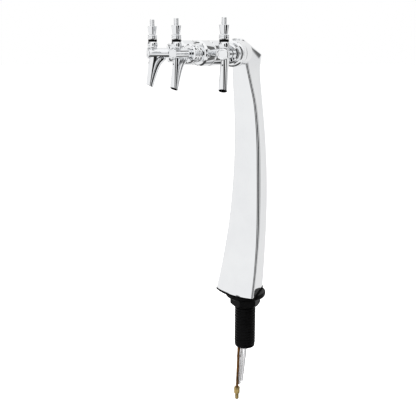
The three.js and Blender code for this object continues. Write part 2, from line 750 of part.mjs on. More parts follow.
/** One complete tap with its shank, turned about the column axis. */
function tap(angle, index) {
  const number = index + 1;
  const fan = new THREE.Group();
  fan.rotation.z = angle;
  const seat = new THREE.Group();
  seat.position.set(0, -TAP_REACH, TAP_AXIS_HEIGHT);
  const makers = [
    tapBody, frontCap, bonnet, lever, frictionRing, leverCollar, ferrule,
    valveShaft, seatWasher, couplingNut, tapShank,
  ];
  seat.add(...makers.map((make) => make(number)));
  fan.add(seat);
  return fan;
}

/** Round tube of a given radius along a list of points. */
function tube(points, radius, steps) {
  const path = new THREE.CatmullRomCurve3(points);
  const options = { extrudePath: path, steps, bevelEnabled: false };
  const section = [];
  for (let k = 0; k < 8; k += 1) {
    section.push(new THREE.Vector2(radius * Math.cos((k * Math.PI) / 4), radius * Math.sin((k * Math.PI) / 4)));
  }
  return new THREE.ExtrudeGeometry(new THREE.Shape(section), options);
}

/** Route of a tube up through the shank and the column, from its free end. */
function riser(end, shankPlace, headPlace, topShare) {
  const [x, y] = shankPlace;
  const [across, behind] = headPlace;
  const points = [
    new THREE.Vector3(...end),
    new THREE.Vector3(x, y, -SHANK_LENGTH),
    new THREE.Vector3(x, y, -SHANK_LENGTH / 2),
    new THREE.Vector3(x, y, 10),
  ];
  const shares = [0.2, 0.3, 0.4, 0.5, 0.6, topShare];
  shares.forEach((share) => {
    const station = columnStation(share);
    const settle = Math.min((share - 0.1) / 0.4, 1);
    const low = onSlice(station, x, y + station.front.x + 2);
    points.push(low.lerp(onSlice(station, across, behind + WALL), settle));
  });
  return points;
}

/** Stainless line that carries beer from the cellar to one tap. */
function productLine(index, end, shankPlace, headPlace) {
  const points = riser(end, shankPlace, headPlace, LINE_TOP_SHARE);
  const angle = TAP_ANGLES[index];
  const armEnd = TAP_REACH + TAP_SHANK_BACK - GAP;
  points.push(new THREE.Vector3(headPlace[0], -14, TAP_AXIS_HEIGHT - 18));
  points.push(new THREE.Vector3(24 * Math.sin(angle), -36, TAP_AXIS_HEIGHT - 2));
  [66, 90, armEnd].forEach((reach) => {
    points.push(new THREE.Vector3(reach * Math.sin(angle), -reach * Math.cos(angle), TAP_AXIS_HEIGHT));
  });
  return piece(`product_line_${index + 1}`, tube(points, LINE_RADIUS, 26), stainless);
}

/** Copper cooling loop: up beside the product lines, round a bend at the head and down again. */
function coolingLoop(end, returnEnd) {
  const feed = riser(end, [-9, -10.3], [-1, 4], LOOP_TOP_SHARE);
  const back = riser(returnEnd, [-13.9, -2.4], [-11.3, 8], LOOP_TOP_SHARE).reverse();
  const bend = feed.at(-1).clone().lerp(back[0], 0.5);
  bend.z += 7;
  return piece('cooling_loop', tube([...feed, bend, ...back], COOLING_RADIUS, 42), copper);
}

/** Brass flare nut and union on the free end of the cooling loop. */
function coolingUnion(end) {
  const nutTop = -GAP;
  const nutBottom = nutTop - UNION_NUT_HEIGHT;
  const noseBottom = nutBottom - UNION_NOSE_LENGTH;
  const nut = new THREE.CylinderGeometry(UNION_NUT_RADIUS, UNION_NUT_RADIUS, UNION_NUT_HEIGHT, 6)
    .rotateX(Math.PI / 2)
    .translate(0, 0, (nutTop + nutBottom) / 2);
  const nose = turned([
    [0, noseBottom],
    [UNION_NOSE_RADIUS - 1, noseBottom],
    [UNION_NOSE_RADIUS, noseBottom + 1.5],
    [UNION_NOSE_RADIUS, nutTop - 5],
    [0, nutTop - 5],
  ], 16);
  const mesh = piece('cooling_union', carve([nut, nose], []), brass);
  mesh.position.set(...end);
  return mesh;
}

const coolingEnd = [-10.5, -13.3, -242];

const tower = new THREE.Group();
tower.add(
  columnShell(),
  threeWayHub(),
  basePlate(),
  baseGasket(),
  threadedShank(),
  clampWasher(),
  clampNut(),
  ...SCREW_PLACES.map((place, index) => baseScrew(index)),
  ...TAP_ANGLES.map(tap),
  productLine(0, [-18.5, -0.4, -225], [-11.6, 5.2], [-7.4, 15]),
  productLine(1, [-10, -5.8, -238], [-6.1, -0.4], [-1, 12.5]),
  productLine(2, [-2.2, -6.4, -226], [2.4, 0.8], [6.3, 11]),
  coolingLoop(coolingEnd, [-16.4, -4.3, -172]),
  coolingUnion(coolingEnd),
);

export default tower;
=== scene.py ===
"""Looks of a three-tap chrome beer tower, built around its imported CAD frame.

Shapes are given in millimetres in the frame's own axes: +Z up, the taps facing -Y, and the origin
on the axis of the threaded shank in the plane of the bar top. Side outlines are (forward, height)
pairs, with forward along -Y.
"""

import logging
import math
from dataclasses import dataclass
from enum import Enum
from typing import Iterable, Sequence

import bmesh
import bpy
from mathutils import Matrix, Vector


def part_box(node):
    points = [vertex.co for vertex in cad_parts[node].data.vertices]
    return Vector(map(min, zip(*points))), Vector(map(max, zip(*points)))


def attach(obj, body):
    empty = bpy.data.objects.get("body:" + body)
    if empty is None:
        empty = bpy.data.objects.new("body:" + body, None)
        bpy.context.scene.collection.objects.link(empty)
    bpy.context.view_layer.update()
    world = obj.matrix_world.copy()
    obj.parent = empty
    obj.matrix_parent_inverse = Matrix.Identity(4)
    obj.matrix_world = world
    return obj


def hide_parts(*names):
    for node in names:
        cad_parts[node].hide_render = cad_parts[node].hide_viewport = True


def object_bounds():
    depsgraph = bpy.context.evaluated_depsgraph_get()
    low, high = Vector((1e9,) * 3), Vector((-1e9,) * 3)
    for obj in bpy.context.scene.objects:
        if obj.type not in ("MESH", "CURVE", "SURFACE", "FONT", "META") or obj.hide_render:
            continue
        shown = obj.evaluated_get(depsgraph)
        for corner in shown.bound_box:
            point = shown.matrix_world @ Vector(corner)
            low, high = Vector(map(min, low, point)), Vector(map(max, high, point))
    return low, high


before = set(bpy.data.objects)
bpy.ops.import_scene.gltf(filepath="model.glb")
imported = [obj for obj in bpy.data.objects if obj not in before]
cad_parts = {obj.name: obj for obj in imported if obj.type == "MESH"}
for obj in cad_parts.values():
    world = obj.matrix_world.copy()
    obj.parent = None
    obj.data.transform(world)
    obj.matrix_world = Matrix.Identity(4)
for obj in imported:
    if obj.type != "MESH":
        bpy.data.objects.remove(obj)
CAD_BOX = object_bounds()
LOG = logging.getLogger("beer_tower")
MM = 0.001

Pair = tuple[float, float]
Ring = list[Vector]
Socket = bpy.types.NodeSocket


class Slot(Enum):
    """The record's material slots."""

    CHROME = "chrome"
    BLACK_NYLON = "black_nylon"
    BLACK_RUBBER = "black_rubber"
    STAINLESS = "stainless"
    COPPER = "copper"
    BRASS = "brass"
    ZINC = "zinc"


class Axis(Enum):
    """The lines that turned pieces are turned about."""

    UP = "up"
    FORWARD = "forward"


# ---------------------------------------------------------------- finishes


# Painted shade: where this vertex attribute is 1, the base colour is painted near black. It stands in for the
# shade down a spout's bore.
PAINTED_BORE_SHADE = "inside"  # vertex attribute, 1 where a surface lies in the dark of a bore


@dataclass(frozen=True)
class Finish:
    """A procedural surface finish: a clouded base colour, uneven polish, a fine bump, and painted shade where
    a bore is marked.

    Attributes:
        slot: The record's material slot.
        colour: Base colour, linear RGB.
        stain: Colour that the clouds drift towards, linear RGB.
        stain_share: Largest share of the stain colour, 0 to 1.
        metallic: 1 for bare metal, 0 for plastics and rubber.
        polish: Roughness where the surface is cleanest.
        dullness: Roughness where it is dullest.
        cloud_size: Size of the clouds in millimetres.
        grain_size: Size of the bump's grain in millimetres.
        grain_height: Height of the bump in millimetres.
        draw_out: Stretch of the grain along Z, as on drawn tube; 1 for none.
        sheen: Strength of the reflection of plastics and rubber; 0.5 is usual.
    """

    slot: Slot
    colour: tuple[float, float, float]
    stain: tuple[float, float, float]
    stain_share: float
    metallic: float
    polish: float
    dullness: float
    cloud_size: float = 30.0
    grain_size: float = 1.0
    grain_height: float = 0.01
    draw_out: float = 1.0
    sheen: float = 0.5

    def material(self) -> bpy.types.Material:
        """Builds the finish as a node material.

        Returns:
            The material, made once and reused.
        """
        name = f"{self.slot.value}_finish"
        known = bpy.data.materials.get(name)
        if known is not None:
            return known
        made = bpy.data.materials.new(name)
        made.use_nodes = True
        nodes, links = made.node_tree.nodes, made.node_tree.links
        shader = nodes["Principled BSDF"]
        shader.inputs["Metallic"].default_value = self.metallic
        shader.inputs["Specular IOR Level"].default_value = self.sheen
        place = nodes.new("ShaderNodeTexCoord").outputs["Object"]
        clouds = self._noise(nodes, links, place, 1 / (self.cloud_size * MM), 3.0)
        tint = nodes.new("ShaderNodeMix")
        tint.data_type = "RGBA"
        tint.inputs["A"].default_value = (*self.colour, 1.0)
        tint.inputs["B"].default_value = (*self.stain, 1.0)
        share = self._range(nodes, links, clouds, 0.0, self.stain_share)
        links.new(share, tint.inputs["Factor"])
        # Painted shade: where the bore attribute is 1, the base colour is mixed to near black in place of the
        # shade inside a spout's bore.
        inside = nodes.new("ShaderNodeAttribute")
        inside.attribute_name = PAINTED_BORE_SHADE
        depth = nodes.new("ShaderNodeMix")
        depth.data_type = "RGBA"
        depth.inputs["B"].default_value = (0.006, 0.006, 0.006, 1.0)
        links.new(inside.outputs["Fac"], depth.inputs["Factor"])
        links.new(tint.outputs["Result"], depth.inputs["A"])
        links.new(depth.outputs["Result"], shader.inputs["Base Color"])
        links.new(self._range(nodes, links, clouds, self.polish, self.dullness), shader.inputs["Roughness"])
        stretch = nodes.new("ShaderNodeVectorMath")
        stretch.operation = "MULTIPLY"
        stretch.inputs[1].default_value = (1.0, 1.0, 1.0 / self.draw_out)
        links.new(place, stretch.inputs[0])
        grain = self._noise(nodes, links, stretch.outputs[0], 1 / (self.grain_size * MM), 2.0)
        bump = nodes.new("ShaderNodeBump")
        bump.inputs["Strength"].default_value = 1.0
        bump.inputs["Distance"].default_value = self.grain_height * MM
        links.new(grain, bump.inputs["Height"])
        links.new(bump.outputs["Normal"], shader.inputs["Normal"])
        return made

    @staticmethod
    def _noise(nodes: bpy.types.Nodes, links: bpy.types.NodeLinks, place: Socket, scale: float,
               detail: float) -> Socket:
        """Adds a noise texture and returns its value socket."""
        noise = nodes.new("ShaderNodeTexNoise")
        noise.inputs["Scale"].default_value = scale
        noise.inputs["Detail"].default_value = detail
        links.new(place, noise.inputs["Vector"])
        return noise.outputs["Fac"]

    @staticmethod
    def _range(nodes: bpy.types.Nodes, links: bpy.types.NodeLinks, value: Socket, low: float,
               high: float) -> Socket:
        """Maps a noise value to a range and returns the mapped socket."""
        spread = nodes.new("ShaderNodeMapRange")
        spread.inputs["From Min"].default_value = 0.35
        spread.inputs["From Max"].default_value = 0.7
        spread.inputs["To Min"].default_value = low
        spread.inputs["To Max"].default_value = high
        links.new(value, spread.inputs["Value"])
        return spread.outputs["Result"]


FINISHES = {
    finish.slot: finish
    for finish in (
        Finish(Slot.CHROME, (0.86, 0.87, 0.88), (0.78, 0.79, 0.81), 0.5, 1.0, 0.025, 0.06,
               cloud_size=60, grain_size=9, grain_height=0.004),
        Finish(Slot.BLACK_NYLON, (0.0008, 0.0008, 0.0009), (0.0026, 0.0026, 0.0028), 0.7, 0.0, 0.24, 0.42,
               cloud_size=12, grain_size=0.9, grain_height=0.03, sheen=0.07),
        Finish(Slot.BLACK_RUBBER, (0.0008, 0.0008, 0.0008), (0.0022, 0.0022, 0.0022), 0.7, 0.0, 0.5, 0.75,
               cloud_size=9, grain_size=0.6, grain_height=0.04, sheen=0.03),
        Finish(Slot.STAINLESS, (0.84, 0.84, 0.85), (0.72, 0.72, 0.73), 0.5, 1.0, 0.14, 0.3,
               cloud_size=14, grain_size=0.5, grain_height=0.015, draw_out=30),
        Finish(Slot.COPPER, (0.2, 0.095, 0.035), (0.035, 0.02, 0.011), 1.0, 1.0, 0.3, 0.5,
               cloud_size=11, grain_size=0.7, grain_height=0.02, draw_out=12),
        Finish(Slot.BRASS, (0.58, 0.42, 0.17), (0.13, 0.105, 0.05), 0.9, 1.0, 0.18, 0.36,
               cloud_size=7, grain_size=0.6, grain_height=0.012),
        Finish(Slot.ZINC, (0.5, 0.51, 0.53), (0.36, 0.36, 0.35), 0.7, 1.0, 0.32, 0.5,
               cloud_size=9, grain_size=0.9, grain_height=0.02),
    )
}


# ---------------------------------------------------------------- mesh work


def skin(rings: Sequence[Ring]) -> bmesh.types.BMesh:
    """Skins a stack of rings with equally many points; a ring of one repeated point closes an end.

    Args:
        rings: The rings in order, in millimetres.

    Returns:
        The skinned mesh, in metres, with outward normals.
    """
    around = len(rings[0])
    along = len(rings) - 1
    mesh = bmesh.new()
    bmesh.ops.create_grid(mesh, x_segments=around, y_segments=along, size=1.0)
    for vert in mesh.verts:
        column = round((vert.co.x + 1) / 2 * around) % around
        row = round((vert.co.y + 1) / 2 * along)
        vert.co = rings[row][column] * MM
    bmesh.ops.remove_doubles(mesh, verts=mesh.verts, dist=1e-7)
    bmesh.ops.recalc_face_normals(mesh, faces=mesh.faces)
    return mesh


def ring_at(radius: float, along: float, axis: Axis, count: int) -> Ring:
    """Makes one round ring about an axis.

    Args:
        radius: Ring radius.
        along: Height of the ring, or its distance forward.
        axis: The line that the ring is centred on.
        count: Number of points.

    Returns:
        The ring's points.
    """
    points = []
    for k in range(count):
        turn = 2 * math.pi * k / count
        a, b = radius * math.cos(turn), radius * math.sin(turn)
        points.append(Vector((a, b, along)) if axis is Axis.UP else Vector((a, -along, b)))
    return points


def eased(profile: Sequence[Pair], radius: float, steps: int = 4) -> list[Pair]:
    """Rounds every corner of an open profile and adds holding points beside it.

    Args:
        profile: Points of the profile.
        radius: Size of the rounding, cut down where an edge is short.
        steps: Segments in each rounding.

    Returns:
        The rounded profile.
    """
    points = [Vector(pair) for pair in profile]
    result = [points[0]]
    for before, corner, after in zip(points, points[1:], points[2:]):
        back, ahead = before - corner, after - corner
        turn = back.angle(-ahead, 0.0)
        reach = min(radius, back.length * 0.3, ahead.length * 0.3)
        if turn < 0.2 or reach <= 0:
            result.append(corner)
            continue
        start, end = corner + back.normalized() * reach, corner + ahead.normalized() * reach
        result.append(corner + back.normalized() * reach * 1.5)
        for k in range(steps + 1):
            share = k / steps
            result.append(start.lerp(corner, share).lerp(corner.lerp(end, share), share))
        result.append(corner + ahead.normalized() * reach * 1.5)
    result.append(points[-1])
    return [(point.x, point.y) for point in result]


def turned(profile: Sequence[Pair], axis: Axis, ease: float = 0.4, count: int = 64) -> bmesh.types.BMesh:
    """Turns a profile of (radius, distance along the axis) pairs.

    Args:
        profile: The outline, in order along the surface.
        axis: The line to turn about.
        ease: Rounding of the corners; 0 for none.
        count: Number of segments round the axis.

    Returns:
        The turned mesh.
    """
    outline = eased(profile, ease) if ease > 0 else list(profile)
    return skin([ring_at(radius, along, axis, count) for radius, along in outline])


def hexagon_radius(turn: float, across_flats: float, corner: float) -> float:
    """Distance to the side of a hexagon in one direction, with its corners cut to a radius.

    Args:
        turn: Direction in radians.
        across_flats: Distance between opposite sides.
        corner: Largest distance from the centre.

    Returns:
        The distance from the centre.
    """
    sixth = math.pi / 3
    off = (turn % sixth) - sixth / 2
    return min(across_flats / 2 / math.cos(off), corner)


def chamfered_hexagon(across_flats: float, profile: Sequence[Pair], turn: float) -> bmesh.types.BMesh:
    """A hexagonal nut whose corners are turned down to a profile.

    Args:
        across_flats: Distance between opposite sides.
        profile: (limiting radius, height) pairs from the bore's lower rim round to its upper one.
        turn: Angle of the nut about Z.

    Returns:
        The nut's mesh.
    """
    count = 144
    rings = []
    for limit, height in profile:
        ring = []
        for k in range(count):
            angle = 2 * math.pi * k / count
            radius = min(limit, hexagon_radius(angle - turn, across_flats, limit))
            ring.append(Vector((radius * math.cos(angle), radius * math.sin(angle), height)))
        rings.append(ring)
    return skin(rings)


def thread_rings(crest: float, depth: float, pitch: float, bottom: float, top: float,
                 count: int) -> list[Ring]:
    """Rings of a right-handed thread that runs out at both ends.

    Args:
        crest: Radius at the crests.
        depth: Depth of the thread.
        pitch: Rise in one turn.
        bottom: Height of the lower end.
        top: Height of the upper end.
        count: Points in each ring.

    Returns:
        The rings from the bottom up.
    """
    rings = []
    steps = round((top - bottom) / pitch * 12)
    for row in range(steps + 1):
        height = bottom + (top - bottom) * row / steps
        runout = min(1.0, (height - bottom) / pitch, (top - height) / pitch)
        ring = []
        for k in range(count):
            turn = 2 * math.pi * k / count
            phase = (height / pitch - turn / (2 * math.pi)) % 1.0
            flank = min(1.0, max(0.0, 2.2 * abs(2 * phase - 1) - 0.6))
            radius = crest - depth * runout * (1 - flank) - depth * (1 - runout) * 0.5
            ring.append(Vector((radius * math.cos(turn), radius * math.sin(turn), height)))
        rings.append(ring)
    return rings


def curve_point(points: Sequence[Vector], share: float) -> Vector:
    """A point of the even Catmull-Rom curve through some points.

    Args:
        points: The points that the curve passes.
        share: Place along the curve, 0 to 1.

    Returns:
        The point.
    """
    place = share * (len(points) - 1)
    base = min(int(place), len(points) - 2)
    step = place - base
    last = len(points) - 1
    p0, p1 = points[max(base - 1, 0)], points[base]
    p2, p3 = points[base + 1], points[min(base + 2, last)]
    v0, v1 = (p2 - p0) * 0.5, (p3 - p1) * 0.5
    return (
        (2 * p1 - 2 * p2 + v0 + v1) * step**3
        + (-3 * p1 + 3 * p2 - 2 * v0 - v1) * step**2
        + v0 * step
        + p1
    )


def smooth_route(points: Sequence[Vector], steps: int) -> list[Vector]:
    """Samples the centripetal Catmull-Rom curve through some points.

    Args:
        points: The points that the route passes.
        steps: Samples in each stretch between two points.

    Returns:
        The sampled route.
    """
    ends = [2 * points[0] - points[1], *points, 2 * points[-1] - points[-2]]
    route = []
    for p0, p1, p2, p3 in zip(ends, ends[1:], ends[2:], ends[3:]):
        t1 = (p1 - p0).length ** 0.5
        t2 = t1 + (p2 - p1).length ** 0.5
        t3 = t2 + (p3 - p2).length ** 0.5
        for k in range(steps):
            t = t1 + (t2 - t1) * k / steps
            a1 = p0.lerp(p1, t / t1)
            a2 = p1.lerp(p2, (t - t1) / (t2 - t1))
            a3 = p2.lerp(p3, (t - t2) / (t3 - t2))
            b1 = a1.lerp(a2, t / t2)
            b2 = a2.lerp(a3, (t - t1) / (t3 - t1))
            route.append(b1.lerp(b2, (t - t1) / (t2 - t1)))
    route.append(points[-1].copy())
    return route


def tube(route: Sequence[Vector], radius: float, wall: float, count: int = 24) -> bmesh.types.BMesh:
    """A round tube along a route, open at its first end, with the bore showing there.

    Args:
        route: Centre line, from the open end.
        radius: Outer radius.
        wall: Wall thickness.
        count: Sides.

    Returns:
        The tube's mesh.
    """
    tangents = [(b - a).normalized() for a, b in zip(route, route[1:])]
    tangents.append(tangents[-1])
    side = tangents[0].orthogonal().normalized()
    sides = []
    for tangent in tangents:
        side = (side - tangent * side.dot(tangent)).normalized()
        sides.append(side)

    def section(index: int, size: float, shift: float = 0.0) -> Ring:
        """One ring of the tube."""
        across = sides[index]
        up = tangents[index].cross(across)
        middle = route[index] + tangents[index] * shift
        turns = [2 * math.pi * k / count for k in range(count)]
        return [middle + across * (size * math.cos(t)) + up * (size * math.sin(t)) for t in turns]

    bore = radius - wall
    rings = [section(0, 0.0, 14.0), section(0, bore, 13.9), section(0, bore, 0.3),
             section(0, bore + 0.2, 0.0)]
    rings += [section(0, radius - 0.2, 0.0), section(0, radius, 0.25)]
    rings += [section(i, radius) for i in range(1, len(route))]
    rings.append(section(len(route) - 1, 0.0))
    return skin(rings)


def finished(name: str, mesh: bmesh.types.BMesh, slot: Slot, sharp: float = 35.0) -> bpy.types.Object:
    """Puts a mesh into the scene as a piece with its finish.

    Args:
        name: Name of the piece.
        mesh: The mesh, which is freed.
        slot: The material slot that it takes its finish from.
        sharp: Edges that turn more than this many degrees stay sharp.

    Returns:
        The piece.
    """
    data = bpy.data.meshes.new(name)
    mesh.to_mesh(data)
    mesh.free()
    data.shade_smooth()
    data.set_sharp_from_angle(angle=math.radians(sharp))
    data.materials.append(FINISHES[slot].material())
    piece = bpy.data.objects.new(name, data)
    bpy.context.scene.collection.objects.link(piece)
    return piece


def cut_away(piece: bpy.types.Object, cutters: Iterable[bmesh.types.BMesh], sharp: float = 35.0) -> None:
    """Cuts closed meshes out of a piece.

    Args:
        piece: The piece to cut.
        cutters: The closed meshes, which are freed.
        sharp: Edges that turn more than this many degrees stay sharp.
    """
    for mesh in cutters:
        data = bpy.data.meshes.new("cutter")
        mesh.to_mesh(data)
        mesh.free()
        cutter = bpy.data.objects.new("cutter", data)
        bpy.context.scene.collection.objects.link(cutter)
        modifier = piece.modifiers.new("cut", "BOOLEAN")
        modifier.operation = "DIFFERENCE"
        modifier.solver = "EXACT"
        modifier.object = cutter
        graph = bpy.context.evaluated_depsgraph_get()
        result = bpy.data.meshes.new_from_object(piece.evaluated_get(graph))
        piece.modifiers.clear()
        old = piece.data
        piece.data = result
        bpy.data.meshes.remove(old)
        bpy.data.objects.remove(cutter)
    piece.data.shade_smooth()
    piece.data.set_sharp_from_angle(angle=math.radians(sharp))


def box_cutter(size: tuple[float, float, float], place: Matrix) -> bmesh.types.BMesh:
    """A closed box, in millimetres, moved to a place."""
    mesh = bmesh.new()
    bmesh.ops.create_cube(mesh, size=1.0, matrix=place @ Matrix.Diagonal((*size, 1.0)))
    bmesh.ops.scale(mesh, vec=(MM, MM, MM), verts=mesh.verts)
    return mesh


def rod_cutter(radius: float, length: float, place: Matrix) -> bmesh.types.BMesh:
    """A closed round rod along its own Z, in millimetres, moved to a place."""
    mesh = bmesh.new()
    bmesh.ops.create_cone(
        mesh, cap_ends=True, segments=24, radius1=radius, radius2=radius, depth=length, matrix=place
    )
    bmesh.ops.scale(mesh, vec=(MM, MM, MM), verts=mesh.verts)
    return mesh


def stand_for(piece: bpy.types.Object, body: str, slot: Slot, *nodes: str) -> bpy.types.Object:
    """Fastens a piece to a body, in place of some CAD nodes, and logs it.

    Args:
        piece: The finished piece.
        body: The body that it rides on.
        slot: The record's material slot; not used.
        nodes: The CAD nodes that it replaces.

    Returns:
        The piece.
    """
    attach(piece, body)
    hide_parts(*nodes)
    LOG.info("%s: %d faces, rides on %s", piece.name, len(piece.data.polygons), body)
    return piece


# ---------------------------------------------------------------- column


@dataclass(frozen=True)
class Station:
    """One slice of a tapered body: its front and back corners in side view and its half width."""

    front: Vector
    back: Vector
    half_width: float

    @property
    def depth(self) -> float:
        """Distance from the front corner line to the back one."""
        return (self.front - self.back).length

    def place(self, across: float, behind: float) -> Vector:
        """Places a point of the slice in space.

        Args:
            across: Distance to the right.
            behind: Distance back from the slice's front corners.

        Returns:
            The point in space.
        """
        middle = self.front.lerp(self.back, behind / self.depth)
        return Vector((across, -middle.x, middle.y))


class StationLine:
    """Reads the slices of a tapered body along its length."""

    def __init__(self, stations: Sequence[tuple[Pair, Pair, float]]) -> None:
        """Keeps (front, back, half width) of each station."""
        self._fronts = [Vector(front) for front, _, _ in stations]
        self._backs = [Vector(back) for _, back, _ in stations]
        self._widths = [Vector((width, 0.0)) for _, _, width in stations]

    def at(self, share: float) -> Station:
        """The slice at a share of the length, 0 to 1."""
        return Station(
            curve_point(self._fronts, share),
            curve_point(self._backs, share),
            curve_point(self._widths, share).x
        )


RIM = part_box("column_shell")[0].z / MM


@dataclass
class Column:
    """The bowed, tapered, chrome casting.

    Attributes:
        wall: Wall thickness.
        back_share: Width of the back as a share of the front's.
        bow: Rise of the bowed front as a share of its half width.
        front_corner: Radius of the two front corners.
        back_corner: Radius of the two back corners.
        crown_rise: Rise of the domed top.
        slices: Slices along the length.
    """

    wall: float = 3.0
    back_share: float = 0.24
    bow: float = 0.25
    front_corner: float = 10.0
    back_corner: float = 5.5
    crown_rise: float = 3.5
    slices: int = 150
    stations: tuple[tuple[Pair, Pair, float], ...] = (
        ((38.4, RIM), (-45.5, RIM), 55.7),
        ((33, 26.2), (-47.7, 26.2), 54.3),
        ((23.6, 69.9), (-51.6, 69.9), 51.7),
        ((12.6, 139.7), (-56.3, 139.7), 47.6),
        ((6.8, 209.6), (-58.1, 209.6), 43.2),
        ((4.4, 279.5), (-55.8, 279.5), 39.6),
        ((5.1, 349.3), (-49.1, 349.3), 36.6),
        ((12, 419.2), (-39.5, 419.2), 32.6),
        ((22.9, 471.6), (-33.4, 469.4), 26.3),
        ((28.1, 497.8), (-32.4, 491.3), 22.6),
        ((32.7, 526.2), (-34.3, 507.6), 19.5),
        ((36.7, 552.4), (-37.3, 520.7), 17),
    )

    def __post_init__(self) -> None:
        """Prepares the reader of the slices."""
        self.line = StationLine(self.stations)

    def outline(self, station: Station, inset: float) -> list[Pair]:
        """Outline of one slice, to the right of and behind its front line.

        Args:
            station: The slice.
            inset: How far the outline is drawn in.

        Returns:
            The outline's points, counter-clockwise seen from above.
        """
        near, far = inset, station.depth - inset
        wide = station.half_width - inset
        narrow = max(station.half_width * self.back_share - inset * 0.8, 1.0)
        bow = wide * self.bow
        front_radius = max(self._corner(station) - inset, 1.0)
        back_radius = min(max(self.back_corner - inset, 0.6), narrow * 0.9)
        front_corner, back_corner = Vector((wide, near)), Vector((narrow, far))
        along = (back_corner - front_corner).normalized()
        start = front_corner + along * front_radius
        end = back_corner - along * back_radius
        reach = wide - front_radius
        bend = bow * reach * reach / (wide * wide)
        front_end = Vector((reach, near - bow + bend))
        half = self._bend(Vector((0.0, near - bow)), Vector((reach / 2, near - bow)), front_end, 12)
        half += self._bend(front_end, front_corner, start, 12)
        half += self._bend(start, start.lerp(end, 0.5), end, 10)
        half += self._bend(end, back_corner, Vector((narrow - back_radius, far)), 8)
        back_edge = [Vector((across, far)) for across in (narrow - back_radius, narrow / 2, 0.0)]
        half += self._bend(*back_edge, 3)
        right = [(point.x, point.y) for point in half]
        left = [(-x, y) for x, y in reversed(right[1:])]
        return [*right, (0.0, far), *left]

    def _corner(self, station: Station) -> float:
        """Radius of the front corners, which are softest at half height."""
        rise = (station.front.y - 260.0) / 190.0
        return self.front_corner * (0.5 + 0.62 * math.exp(-rise * rise))

    @staticmethod
    def _bend(start: Vector, control: Vector, end: Vector, steps: int) -> list[Vector]:
        """Points of a quadratic bend, without its end."""
        shares = [k / steps for k in range(steps)]
        return [start.lerp(control, s).lerp(control.lerp(end, s), s) for s in shares]

    def slice(self, share: float, inset: float, rise: float = 0.0) -> Ring:
        """One slice in space.

        Args:
            share: Place along the column, 0 to 1.
            inset: How far the outline is drawn in.
            rise: Extra height.

        Returns:
            The slice's points.
        """
        station = self.line.at(share)
        lift = Vector((0.0, 0.0, rise))
        return [station.place(x, y) + lift for x, y in self.outline(station, inset)]

    def build(self) -> bpy.types.Object:
        """Builds the column with its rim, its inner wall and its domed crown.

        Returns:
            The piece.
        """
        rings = [self.slice(0.05, self.wall), self.slice(0.0, self.wall), self.slice(0.0, 0.7)]
        rings.append(self.slice(0.0, 0.2, 0.25))
        rings += [self.slice(k / self.slices, self._flare(k / self.slices)) for k in range(1, self.slices)]
        for k in range(9):
            turn = math.pi / 2 * k / 8
            rings.append(self.slice(1.0, 4.5 * (1 - math.cos(turn)), self.crown_rise * math.sin(turn) - 0.4))
        for inset, rise in ((7.0, 0.3), (8.4, 0.4)):
            rings.append(self.slice(1.0, inset, self.crown_rise + rise - 0.4))
        top = sum(rings[-1], Vector()) / len(rings[-1])
        rings.append([top.copy() for _ in rings[-1]])
        piece = finished("column", skin(rings), Slot.CHROME, sharp=50)
        return stand_for(piece, "tower", Slot.CHROME, "column_shell")

    @staticmethod
    def _flare(share: float) -> float:
        """Slight flare of the wall just above the rim, as a negative inset."""
        return -0.5 * math.exp(-(share / 0.01) ** 2)


@dataclass
class Gasket:
    """The rubber gasket between the column's foot and the bar top.

    Attributes:
        overhang: How far it stands out past the rim.
        thickness: Its thickness.
        width: Width of the rubber from its outer edge inwards.
    """

    overhang: float = 1.2
    thickness: float = 3.0
    width: float = 20.0

    def build(self, column: Column) -> bpy.types.Object:
        """Builds the gasket in the shape of a column's foot.

        Args:
            column: The column that stands on it.

        Returns:
            The piece.
        """
        station = column.line.at(0.0)
        profile = ((self.width, 0.0), (0.3, 0.0), (0.0, 0.4), (0.0, self.thickness - 0.4),
                   (0.3, self.thickness))
        rings = []
        for inset, height in (*profile, (self.width, self.thickness), (self.width, 0.0)):
            outline = column.outline(station, inset - self.overhang)
            rings.append([Vector((x, y - station.front.x, height)) for x, y in outline])
        piece = finished("gasket", skin(rings), Slot.BLACK_RUBBER)
        return stand_for(piece, "tower", Slot.BLACK_RUBBER, "base_gasket")


# ---------------------------------------------------------------- hub


TAP_ANGLES = tuple(math.radians(a) for a in (-29.0, 0.0, 29.0))
TAP_HEIGHT = 527.0
TAP_REACH = 204.0


